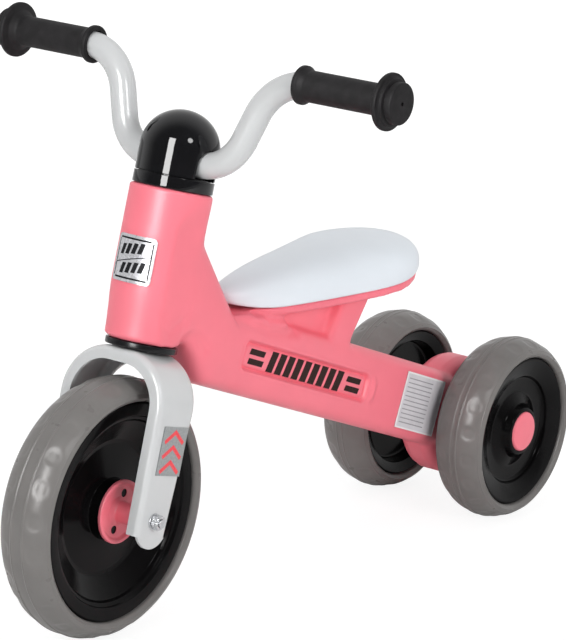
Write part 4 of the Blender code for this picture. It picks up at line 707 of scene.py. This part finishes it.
seat_rim = seat_outline(160)
crown = SEAT_CROWN + (SEAT_NOSE_CROWN - SEAT_CROWN) * smooth(
    (SEAT_WIDEST_Y - seat_rim[:, 1]) / (SEAT_WIDEST_Y - SEAT_NOSE_Y), 0.35, 1.0)
seat_rings = []
for step in range(25):
    angle = math.pi / 2 * step / 24
    above = max(0.0, math.cos(angle)) ** (2 / crown)
    seat_rings.append(seat_ring(seat_rim, math.sin(angle) ** (2 / crown),
                                SEAT_SIDE + (SEAT_THICKNESS - SEAT_SIDE) * above, above))
for share, height in SEAT_FOOT:
    seat_rings.append(seat_ring(seat_rim, share, height, 0.0))
dress(grid("seat_saddle", seat_rings, False, True, 50.0), "frame", SEAT_WHITE, "white_seat",
      "seat_pad")


# Fork: a pressed channel that bends over the wheel, its legs ending in round tongues

def fork_section(depth, corner, front, rear):
    """The channel's closed outline as (inset, y): flange, web, flange, and back inside."""
    inner = max(corner - FORK_SHEET, 0.0002)
    outside = rounded([(depth, front, 0), (0, front, corner), (0, rear, corner), (depth, rear, 0)],
                      6, False)
    inside = rounded([(depth, rear - FORK_SHEET, 0), (FORK_SHEET, rear - FORK_SHEET, inner),
                      (FORK_SHEET, front + FORK_SHEET, inner), (depth, front + FORK_SHEET, 0)],
                     6, False)
    return outside + inside


def fork_ring(x, z, out_x, out_z):
    """The section at a place of the arch, its edges leaning with the height up the leg."""
    ring = []
    for inset, y in fork_section(FORK_DEPTH, FORK_CORNER, FORK_FRONT, FORK_REAR):
        height = z - inset * out_z
        share = (y - FORK_FRONT) / (FORK_REAR - FORK_FRONT)
        lean = (FORK_FRONT_FLARE * (1 - share) + FORK_REAR_FLARE * share) * height
        ring.append((x - inset * out_x, y + lean, height))
    return ring


def tongue_ring(height):
    """The section of the flat round tongue at a height about its axle."""
    left = max(TONGUE_RADIUS ** 2 - (height - TONGUE_CENTRE) ** 2, 0.0000001)
    half = math.sqrt(left) + TONGUE_TIP
    section = fork_section(FORK_SHEET + 0.00002, 0.00025, -AXLE_LEAD - half, -AXLE_LEAD + half)
    return [(FORK_HALF_WIDTH - inset, y, height) for inset, y in section]


centre_x, centre_z = FORK_HALF_WIDTH - FORK_BEND, CROWN_TOP - FORK_BEND
half_arch = [fork_ring(0.0, CROWN_TOP, 0.0, 1.0)]
for step in range(25):
    angle = math.pi / 2 * step / 24
    out_x, out_z = math.sin(angle), math.cos(angle)
    half_arch.append(fork_ring(centre_x + FORK_BEND * out_x, centre_z + FORK_BEND * out_z,
                               out_x, out_z))
for step in range(1, 13):
    height = centre_z + (FORK_LEG_END - centre_z) * step / 12
    half_arch.append(fork_ring(FORK_HALF_WIDTH, height, 1.0, 0.0))
tongue_low = TONGUE_CENTRE - TONGUE_RADIUS
for step in range(13):
    angle = math.pi / 2 * step / 12
    half_arch.append(tongue_ring(FORK_LEG_END + (tongue_low - FORK_LEG_END) * math.sin(angle)))
right_half = [[(-x, y, z) for x, y, z in ring] for ring in half_arch[:0:-1]]
fork = grid("fork_channel", right_half + half_arch, False, True, 28.0)
fork.data.transform(HEAD)
bm = bmesh.new()
bm.from_mesh(fork.data)
bmesh.ops.holes_fill(bm, edges=[edge for edge in bm.edges if edge.is_boundary])
bmesh.ops.recalc_face_normals(bm, faces=bm.faces)
bm.to_mesh(fork.data)
bm.free()
dress(fork, "steering", PAINT, "white_paint", "fork")

# Handlebar, with long bends up to the grips
bar_half = rounded([(0, BAR, 0), (BAR_LOW_BEND[0], BAR, BAR_LOW_BEND[1]),
                    (BAR_HIGH_BEND[0], GRIP, BAR_HIGH_BEND[1]), (BAR_END, GRIP, 0)], 22, False)
bar_line = np.array([(-point.x, point.y) for point in reversed(bar_half)]
                    + [(point.x, point.y) for point in bar_half[1:]])
turns = around(40)
across, over = BAR_RADIUS * np.cos(turns), BAR_RADIUS * np.sin(turns)
bar_rings = []
for i, (x, z) in enumerate(bar_line):
    ahead = bar_line[min(i + 1, len(bar_line) - 1)] - bar_line[max(i - 1, 0)]
    ahead = ahead / np.hypot(*ahead)
    bar_rings.append(np.stack([x - ahead[1] * across, over, z + ahead[0] * across], -1))
bar = grid("handlebar_tube", bar_rings, False, True)
bar.data.transform(HEAD)
dress(bar, "steering", PAINT, "white_paint", "handlebar")

# Grips
for side, sign, turn in SIDES:
    grip = turned("grip_sleeve_" + side, [
        (0.0014, GRIP_END), (0.0148, GRIP_END, 0.0014), (0.0148, GRIP_END - 0.0048, 0.0006),
        (0.0140, GRIP_END - 0.0052, 0.0003), (0.0140, GRIP_END - 0.0060, 0.0003),
        (0.0168, GRIP_END - 0.0064, 0.0006), (0.0168, GRIP_END - 0.0080, 0.0007),
        (0.0182, GRIP_END - 0.0088, 0.0008), (0.0202, GRIP_END - 0.0090, 0.0010),
        (0.0202, GRIP_END - 0.0122, 0.0012), (0.0150, GRIP_END - 0.0136, 0.0030),
        (GRIP_RADIUS, GRIP_END - 0.0172, 0.0030), (GRIP_RADIUS, GRIP_START + 0.0078, 0.0030),
        (0.0128, GRIP_START + 0.0044, 0.0016), (0.0138, GRIP_START + 0.0032, 0.0009),
        (0.0138, GRIP_START, 0.0010), (0.0101, GRIP_START, 0.0004),
        (0.0098, GRIP_START + 0.0070), (0.0098, GRIP_END - 0.0042),
        (0.0014, GRIP_END - 0.0042),
    ], HEAD @ Matrix.Translation((0, 0, GRIP)) @ turn, 72)
    dress(grip, "steering", RUBBER, "grip_rubber", "grip_" + side)

# Head collars
cap_inside = CAP_RADIUS - CAP_WALL
dress(turned("upper_collar", [
    (BUSH_BORE, SEAM + COLLAR_LIP), (cap_inside - GAP, SEAM + COLLAR_LIP, 0.0003),
    (cap_inside - GAP, SEAM), (UPPER_COLLAR_RADIUS, SEAM, 0.0005),
    (UPPER_COLLAR_RADIUS, HEAD_HIGH + GAP, 0.0005), (BUSH_OUTSIDE, HEAD_HIGH + GAP),
    (BUSH_OUTSIDE, HEAD_HIGH - BUSH_DEPTH), (BUSH_BORE, HEAD_HIGH - BUSH_DEPTH),
], HEAD, 128), "frame", GLOSS_BLACK, "gloss_black", "upper_head_bush")
dress(turned("lower_collar", [
    (BUSH_BORE, HEAD_LOW + BUSH_DEPTH), (BUSH_OUTSIDE, HEAD_LOW + BUSH_DEPTH),
    (BUSH_OUTSIDE, HEAD_LOW - GAP), (LOWER_COLLAR_RADIUS, HEAD_LOW - GAP, 0.0006),
    (LOWER_COLLAR_RADIUS, CROWN_TOP + CROWN_GAP, 0.0009), (BUSH_BORE, CROWN_TOP + CROWN_GAP),
], HEAD, 128), "frame", SATIN_BLACK, "satin_black", "lower_head_bush")


# The domed cap over the stem, cut flat and open round the bar on both sides

def cap_line(radius, top, foot_radius):
    """The cap's outline from its crown down to its foot."""
    line = [(radius * math.sin(math.pi / 2 * step / 28),
             DOME_START + (top - DOME_START) * math.cos(math.pi / 2 * step / 28))
            for step in range(29)]
    return line + [(radius, CAP_LOW + CAP_CHAMFER), (foot_radius, CAP_LOW)]


cap = turned("steering_cap", cap_line(CAP_RADIUS, DOME_TOP, CAP_RADIUS - CAP_CHAMFER)
             + cap_line(cap_inside, DOME_TOP - CAP_WALL, cap_inside)[::-1],
             Matrix.Identity(4), 160, False)
slot_outline = [(-CAP_SLOT, SEAM - BAR - 0.002), (CAP_SLOT, SEAM - BAR - 0.002)]
slot_outline += [(CAP_SLOT * math.cos(math.pi * step / 32), CAP_SLOT * math.sin(math.pi * step / 32))
                 for step in range(33)]
cut(cap, *[plate("slot_" + side, slot_outline, CAP_SLOT_HALF,
                 Matrix.Translation((sign * (CAP_FLAT + CAP_SLOT_HALF), 0, BAR)) @ ON_SIDE)
           for side, sign, turn in SIDES])
cap.data.transform(HEAD)
dress(cap, "steering", GLOSS_BLACK, "gloss_black", "head_cap")


# Tyres: a squared fat section with two raised lines and a row of shallow dimples each side

def tyre(name, centre, body_name, node, radius, rim, half_width, height, dimples, dimple_turn,
         inner_line, outer_line):
    power = 2 / TYRE_SQUARENESS
    last = math.acos(((rim + TYRE_BEAD - radius + height) / height) ** (1 / power))
    angles = list(np.linspace(0.0, last, 49))
    for line in (inner_line, outer_line):
        angles += [math.asin(((line + step * LINE_STEP) / half_width) ** (1 / power))
                   for step in range(-3, 4)]
    half = [(radius - height + height * math.cos(angle) ** power,
             half_width * math.sin(angle) ** power) for angle in sorted(angles)]
    half += [(rim + 0.0018, RIM_HALF_WIDTH + 0.0024), (rim + 0.0007, RIM_HALF_WIDTH + 0.0014),
             (rim + GAP, RIM_HALF_WIDTH - GAP)]
    r, x = np.array(half).T[:, :, None]
    turns = around(dimples * 16)
    above_bead = r > rim + 0.006
    ridge = sum(LINE_HEIGHT * np.exp(-((x - line) / LINE_SPREAD) ** 2) * above_bead
                for line in (inner_line, outer_line))
    pitch = 360.0 / dimples
    phase = np.degrees(turns) % pitch - pitch / 2
    dimple_low = max(inner_line + 0.0020, 0.0060)
    dimple_high = outer_line - 0.0016
    across = (x - (dimple_low + dimple_high) / 2) / ((dimple_high - dimple_low) / 2)
    reach = np.abs(phase * 2 / dimple_turn) ** DIMPLE_POWER + np.abs(across) ** DIMPLE_POWER
    dent = DIMPLE_DEPTH * (1 - smooth(reach ** (1 / DIMPLE_POWER), 0.50, 1.10)) * above_bead
    radial = r + ridge - dent
    left = np.stack([x - dent * DIMPLE_SIDEWAYS + 0 * turns, radial * np.cos(turns),
                     radial * np.sin(turns)], -1)
    right = left[1:][::-1] * (-1, 1, 1)
    made = grid(name, np.concatenate([right, left]), True, True, 40.0)
    made.data.transform(Matrix.Translation(centre))
    return dress(made, body_name, TYRE, "grey_tyre", node)


tyre("front_wheel_tyre", FRONT_AXLE, "front_wheel", "front_tyre", **FRONT_TYRE)
for side, sign, turn in SIDES:
    centre = REAR_AXLE + Vector((sign * REAR_TRACK_HALF, 0, 0))
    tyre("rear_wheel_tyre_" + side, centre, "rear_wheel_" + side, "rear_tyre_" + side, **REAR_TYRE)

# Rims and the rear hub caps
front_side = [
    (0.0088, 0.0139, 0), (0.0223, 0.0139, 0.0010), (0.0223, 0.0047, 0.0010),
    (0.0470, 0.0027, 0.0020), (0.0500, 0.0034, 0.0016), (0.0655, 0.0118, 0.0022),
    (0.0668, 0.0150, 0.0012), (0.0690, 0.0156, 0.0010), (0.0700, 0.0176, 0.0010),
    (0.0785, 0.0182, 0.0012), (0.0800, 0.0170, 0.0006),
]
front_rim = turned("front_wheel_rim",
                   front_side + [(r, -z, corner) for r, z, corner in reversed(front_side)],
                   Matrix.Translation(FRONT_AXLE) @ TO_LEFT, 144, True, 4)
dress(front_rim, "front_wheel", RIM_BLACK, "gloss_black", "front_rim")
for side, sign, turn in SIDES:
    place = Matrix.Translation(REAR_AXLE + Vector((sign * REAR_TRACK_HALF, 0, 0))) @ turn
    rear_rim = turned("rear_wheel_rim_" + side, [
        (0.0078, 0.0066), (0.0162, 0.0066), (0.0162, 0.0196, 0.0005),
        (0.0190, 0.0191, 0.0016), (0.0216, 0.0128, 0.0040), (0.0310, 0.0092, 0.0060),
        (0.0432, 0.0098, 0.0030), (0.0440, 0.0138, 0.0014), (0.0585, 0.0182, 0.0018),
        (0.0600, 0.0170, 0.0006), (0.0600, -0.0172, 0.0006), (0.0590, -0.0182, 0.0006),
        (0.0512, -0.0152, 0.0012), (0.0492, -0.0042, 0.0020), (0.0150, -0.0042, 0.0020),
        (0.0140, -0.0352, 0.0006), (0.0078, -0.0352),
    ], place, 128, True, 4)
    dress(rear_rim, "rear_wheel_" + side, RIM_BLACK, "gloss_black", "rear_rim_" + side)
    hub_cap = turned("rear_cap_" + side, [
        (0.0, 0.0216), (0.0080, 0.0214, 0.010), (0.0150, 0.0208, 0.0012),
        (0.0159, 0.0196, 0.0006), (0.0159, 0.0069), (0.0139, 0.0069), (0.0139, 0.0171),
        (0.0, 0.0186),
    ], place, 96, False, 5)
    dress(hub_cap, "rear_wheel_" + side, PINK, "pink_moulding", "rear_hub_cap_" + side)

# Front hub flanges, dished plates with two holes and a boss out to the fork
hole_profile = [(0, 0.006), (HUB_HOLE_RADIUS, 0.006), (HUB_HOLE_RADIUS, -0.006), (0, -0.006)]
for side, sign, turn in SIDES:
    flange = turned("front_flange_" + side, [
        (0.0055, 0.0435), (0.0076, 0.0435, 0.0006), (0.0078, 0.0168, 0.0020),
        (0.0112, 0.0146, 0.0016), (0.0190, 0.0146, 0.0014), (0.0208, 0.0168, 0.0010),
        (0.0233, 0.0168, 0.0010), (0.0233, 0.0142, 0.0003), (0.0086, 0.0142),
        (0.0086, 0.0005), (0.0055, 0.0005),
    ], turn, 96)
    holes = []
    for number in range(2):
        angle = HUB_HOLE_TURN + number * math.pi
        place = Matrix.Translation((sign * 0.0160, HUB_HOLE_CIRCLE * math.cos(angle),
                                    HUB_HOLE_CIRCLE * math.sin(angle)))
        holes.append(turned("hole_%d" % number, hole_profile, place @ TO_LEFT, 24, False))
    cut(flange, *holes)
    flange.data.transform(Matrix.Translation(FRONT_AXLE))
    dress(flange, "front_wheel", PINK, "pink_moulding", "front_hub_flange_" + side)


# Front axle ends: a washer on each side of the fork, and a chamfered nut on the left

def hexagon(name, low, high, radius, place, hole):
    """A six-sided nut whose corners are turned away at its outer face."""
    turns = around(72)
    within = (turns + math.pi / 6) % (math.pi / 3) - math.pi / 6
    flat = radius * math.cos(math.pi / 6) / np.cos(within)
    rows = [(low, flat), (low + 0.0003, flat), (high - 0.0013, flat)]
    for height, limit in ((high - 0.0008, 0.975), (high - 0.0003, 0.935), (high, 0.87), (high, 0.60)):
        rows.append((height, np.minimum(flat, radius * limit)))
    rows += [(high, hole + 0 * turns), (low, hole + 0 * turns)]
    made = grid(name, [np.stack([reach * np.cos(turns), reach * np.sin(turns), height + 0 * turns], -1)
                       for height, reach in rows], True, True, 28.0)
    made.data.transform(place)
    return made


axle = Matrix.Translation(FRONT_AXLE)
for side, sign, turn in SIDES:
    dress(turned("axle_washer_" + side, [
        (AXLE_BORE, 0.0475), (0.0062, 0.0475, 0.0003), (0.0062, 0.0463, 0.0002), (AXLE_BORE, 0.0463),
    ], axle @ turn, 64), "steering", STEEL, "steel", "front_washer_" + side)
dress(hexagon("axle_nut", 0.0478, 0.0526, 0.0056, axle @ TO_LEFT, AXLE_BORE), "steering", STEEL,
      "steel", "front_axle_nut")


# Graphics: plain bars on the side panels, a bordered badge, a ruled label and chevrons

def slanted(x, y, width, height, lean):
    """A bar about a point, leaning towards +X as it rises."""
    return [(x + across * width / 2 + up * lean * height / 2, y + up * height / 2)
            for across, up in SQUARE]


def block(width, height, corner, x=0.0, y=0.0):
    """A block about a point, with round corners."""
    return rounded([(x + across * width / 2, y + up * height / 2, corner) for across, up in SQUARE])


def panel_plane(sign):
    """The plane of a side panel: its X runs back along the beam and its Y up from it."""
    place = Matrix((BEAM_BACK, BEAM_UP, BEAM_BACK.cross(BEAM_UP))).transposed().to_4x4()
    middle = REAR_AXLE - BEAM_BACK * (PANEL_START + PANEL_LENGTH / 2) + BEAM_UP * PANEL_OFFSET
    out = Vector((sign * (BODY_HALF_WIDTH - PANEL_RECESS + 0.0001), 0, 0))
    return Matrix.Translation(middle + out) @ place


panel_bars = [slanted(end * 0.0672, row * 0.0036, 0.0190, 0.0044, LEAN)
              for end in (-1, 1) for row in (-1, 1)]
panel_bars += [slanted(-0.0460 + number * 0.0115, 0.0, 0.0078, 0.0158, LEAN) for number in range(9)]
for side, sign, turn in SIDES:
    pieces = [plate("bar_%d" % number, bar, 0.0003, panel_plane(sign), 0.00008)
              for number, bar in enumerate(panel_bars)]
    dress(joined("panel_bars_" + side, pieces), "frame", INK, "dark_ink", "side_decal_" + side)


def wrapped(name, outline, cuts, place_of):
    """An outline cut across X into strips, laid on a surface and thickened.

    The surface gives a place for (x, y, whether it is the raised side).
    """
    bm = bmesh.new()
    bm.faces.new([bm.verts.new((point[0], point[1], 0.0)) for point in outline])
    for place in cuts:
        bmesh.ops.bisect_plane(bm, geom=bm.verts[:] + bm.edges[:] + bm.faces[:], dist=0.00001,
                               plane_co=(place, 0, 0), plane_no=(1, 0, 0))
    raise_faces(bm, bm.faces[:], 1.0)
    for vert in bm.verts:
        vert.co = place_of(vert.co.x, vert.co.y, vert.co.z > 0.5)
    return from_bmesh(name, bm)


def on_badge(name, outline, inner, outer):
    """An outline wrapped round the head tube's front, between two heights over its skin."""
    reach = max(abs(point[0]) for point in outline)

    def on_head(x, y, raised):
        radius = HEAD_RADIUS + GAP + (outer if raised else inner)
        angle = x / HEAD_RADIUS
        return HEAD @ Vector((radius * math.sin(angle), -radius * math.cos(angle), BADGE_MIDDLE + y))

    return wrapped(name, outline, [reach * step / 12.5 for step in range(-12, 13)], on_head)


dress(on_badge("badge_plate", block(0.0340, 0.0335, 0.0030), -0.0004, 0.0010), "frame", FOIL,
      "silver_foil", "front_badge")
badge_ink = []
for end in (-1, 1):
    badge_ink.append(block(0.0270, 0.0013, 0.0005, -0.0006 * end, end * 0.0140))
    badge_ink.append(block(0.0009, 0.0264, 0.0003, end * 0.0146, 0.0))
badge_ink.append([(-0.0145, -0.0036), (-0.0145, -0.0043), (0.0145, 0.0032), (0.0145, 0.0039)])
for first, row in ((-0.0088, 0.0060), (-0.0062, -0.0072)):
    for number in range(4):
        badge_ink.append(slanted(first + number * 0.0051, row + number * 0.0007, 0.0034, 0.0076, LEAN))
dress(joined("badge_bars", [on_badge("ink_%d" % number, outline, 0.0008, 0.00106)
                            for number, outline in enumerate(badge_ink)]),
      "frame", BADGE_INK, "dark_ink")


# Rear label: a pale border and plain ruled lines over the silver foil

def on_label(along, off, raised):
    """A place over the label, which bends in with the body's tapered end."""
    x = LABEL_SKIN - LABEL_SLOPE * max(0.0, LABEL_BEND - along) + (0.00016 if raised else -0.0001)
    return REAR_AXLE - BEAM_BACK * along + BEAM_UP * (off + PANEL_OFFSET) + Vector((x, 0, 0))


def label_strip(name, low_along, high_along, low_off, high_off):
    """A strip of the label's printing between two places along the beam and two across it."""
    outline = [(low_along, low_off), (high_along, low_off), (high_along, high_off),
               (low_along, high_off)]
    return wrapped(name, outline, [LABEL_BEND], on_label)


label_end, label_top = LABEL_START + LABEL_LENGTH, LABEL_WIDTH / 2
inside = label_top - LABEL_BORDER
dress(joined("rear_label_border", [
    label_strip("top", LABEL_START, label_end, inside, label_top),
    label_strip("foot", LABEL_START, label_end, -label_top, -inside),
    label_strip("rear", LABEL_START, LABEL_START + LABEL_BORDER, -inside, inside),
    label_strip("front", label_end - LABEL_BORDER, label_end, -inside, inside),
]), "frame", LABEL_EDGE, "silver_foil")
lines = []
for number in range(LABEL_LINES):
    off = (number - (LABEL_LINES - 1) / 2) * LABEL_LINE_PITCH
    lines.append(label_strip("line_%d" % number, LABEL_BEND + 0.0020, label_end - 0.0040,
                             off - 0.0004, off + 0.0004))
dress(joined("rear_label_lines", lines), "frame", LABEL_LINE, "dark_ink")

# Chevrons on the fork's stickers
for side, sign, turn in SIDES:
    place = HEAD @ Matrix.Translation((sign * STICKER_SKIN, STICKER_SETBACK - AXLE_LEAD, 0)) @ ON_SIDE
    chevrons = []
    for number in range(3):
        apex = 0.0661 - number * 0.0107
        outline = [(0.0, apex), (0.0114, apex - 0.0082), (0.0098, apex - 0.0106),
                   (0.0, apex - 0.0036), (-0.0098, apex - 0.0106), (-0.0114, apex - 0.0082)]
        chevrons.append(plate("chevron_%d" % number, outline, 0.00006, place))
    dress(joined("fork_chevrons_" + side, chevrons), "steering", STICKER_RED, "silver_foil")

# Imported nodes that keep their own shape: two stickers, the label, nylon bushes, and steel
KEPT = {"fork_sticker_left": STICKER_GREY, "fork_sticker_right": STICKER_GREY, "rear_label": LABEL}
for name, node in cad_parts.items():
    if not node.hide_render:
        node.data.materials.clear()
        node.data.materials.append(KEPT.get(name, NYLON if "bush" in name else STEEL))


# Studio

def any_of(tree, sources):
    """1 for a ray of any of these kinds."""
    total = sources[0]
    for source in sources[1:]:
        greater = added(tree, "Math")
        greater.operation = "MAXIMUM"
        tree.links.new(total, greater.inputs[0])
        tree.links.new(source, greater.inputs[1])
        total = greater.outputs["Value"]
    return total


def mixed(tree, factor, first, second):
    """One shader where the factor is 0, and the other where it is 1."""
    made = added(tree, "MixShader")
    tree.links.new(factor, made.inputs["Fac"])
    tree.links.new(first, made.inputs[1])
    tree.links.new(second, made.inputs[2])
    return made.outputs["Shader"]


def white_floor():
    """A floor as white as the photograph's background, which keeps the object's shadow."""
    look = bpy.data.materials.new("white floor")
    look.use_nodes = True
    tree = look.node_tree
    paper = tree.nodes["Principled BSDF"]
    paper.inputs["Base Color"].default_value = (*FLOOR_COLOUR, 1.0)
    paper.inputs["Roughness"].default_value = 0.9
    paper.inputs["Specular IOR Level"].default_value = 0.1
    glow = added(tree, "Emission", Color=(1.0, 1.0, 1.0, 1.0), Strength=FLOOR_GLOW)
    paths = added(tree, "LightPath")
    share = added(tree, "Math")
    share.operation = "MULTIPLY"
    share.inputs[1].default_value = FLOOR_GLOW_SHARE
    tree.links.new(any_of(tree, [paths.outputs["Is Camera Ray"],
                                 paths.outputs["Is Transmission Ray"]]), share.inputs[0])
    lit = mixed(tree, share.outputs["Value"], paper.outputs["BSDF"], glow.outputs["Emission"])
    tree.links.new(lit, tree.nodes["Material Output"].inputs["Surface"])
    mesh = bpy.data.meshes.new("floor")
    mesh.from_pydata([(x * FLOOR_HALF, y * FLOOR_HALF, 0) for x, y in SQUARE], [], [(0, 1, 2, 3)])
    mesh.materials.append(look)
    floor = placed("floor", mesh)


def studio_world():
    """White to the camera, fill light on surfaces, and in reflections a white backdrop behind
    the trike that darkens towards the room in front of it."""
    world = bpy.data.worlds.new("studio")
    bpy.context.scene.world = world
    world.use_nodes = True
    tree = world.node_tree
    tree.nodes.clear()
    paths = added(tree, "LightPath")

    def glow_of(strength):
        return added(tree, "Background", Color=(1.0, 1.0, 1.0, 1.0), Strength=strength)

    direction = added(tree, "TexCoord")
    facing = added(tree, "VectorMath")
    facing.operation = "DOT_PRODUCT"
    facing.inputs[1].default_value = (math.sin(CAMERA_AZIMUTH), -math.cos(CAMERA_AZIMUTH), 0.0)
    tree.links.new(direction.outputs["Generated"], facing.inputs[0])
    falloff = added(tree, "MapRange", From_Min=ROOM_FADE[0], From_Max=ROOM_FADE[1],
                    To_Min=ROOM_BEHIND, To_Max=ROOM_IN_FRONT)
    falloff.interpolation_type = "SMOOTHSTEP"
    tree.links.new(facing.outputs["Value"], falloff.inputs["Value"])
    room = glow_of(1.0)
    tree.links.new(falloff.outputs["Result"], room.inputs["Strength"])
    mirrored = any_of(tree, [paths.outputs["Is Glossy Ray"], paths.outputs["Is Transmission Ray"]])
    lit = mixed(tree, mirrored, glow_of(FILL_LEVEL).outputs["Background"],
                room.outputs["Background"])
    lit = mixed(tree, paths.outputs["Is Camera Ray"], lit, glow_of(1.0).outputs["Background"])
    output = added(tree, "OutputWorld")
    tree.links.new(lit, output.inputs["Surface"])


def direction_of(azimuth, elevation):
    """The way to look from the trike: 0 is straight ahead of it, and 90 is to its left."""
    return Vector((math.sin(azimuth) * math.cos(elevation), -math.cos(azimuth) * math.cos(elevation),
                   math.sin(elevation)))


def area_light(name, shape, azimuth, elevation, distance, width, height, level, mirrored):
    """An area light. Its level is what it adds to a white surface that faces it.

    A mirrored one shows in reflections alone.
    """
    data = bpy.data.lights.new(name, "AREA")
    data.shape = shape
    data.size = width
    data.size_y = height
    data.energy = level * math.pi ** 2 * distance ** 2
    lamp = placed(name, data)
    towards = direction_of(math.radians(azimuth), math.radians(elevation))
    lamp.location = LIT + towards * distance
    lamp.rotation_euler = towards.to_track_quat("Z", "Y").to_euler()
    lamp.visible_camera = False
    lamp.visible_diffuse = not mirrored
    lamp.visible_glossy = mirrored


def photograph_camera():
    """A camera at the photograph's place, with its roll and its principal point."""
    data = bpy.data.cameras.new("camera")
    data.sensor_fit = "VERTICAL"
    data.sensor_height = SENSOR
    data.lens = SENSOR * FOCAL_PIXELS / PICTURE_HEIGHT
    data.shift_x = (PRINCIPAL_POINT[0] - PICTURE_WIDTH / 2) / -PICTURE_HEIGHT
    data.shift_y = (PRINCIPAL_POINT[1] - PICTURE_HEIGHT / 2) / PICTURE_HEIGHT
    camera = placed("camera", data)
    back = direction_of(CAMERA_AZIMUTH, CAMERA_ELEVATION)
    level_right = Vector((math.cos(CAMERA_AZIMUTH), math.sin(CAMERA_AZIMUTH), 0.0))
    level_up = back.cross(level_right)
    right = level_right * math.cos(CAMERA_ROLL) + level_up * math.sin(CAMERA_ROLL)
    up = level_up * math.cos(CAMERA_ROLL) - level_right * math.sin(CAMERA_ROLL)
    camera.matrix_world = Matrix.Translation(CAMERA_TARGET + back * CAMERA_DISTANCE) @ Matrix(
        (right, up, back)).transposed().to_4x4()
    bpy.context.scene.camera = camera


white_floor()
studio_world()
for light in LIGHTS:
    area_light(*light)
photograph_camera()

bpy.context.scene.view_settings.view_transform = "Standard"
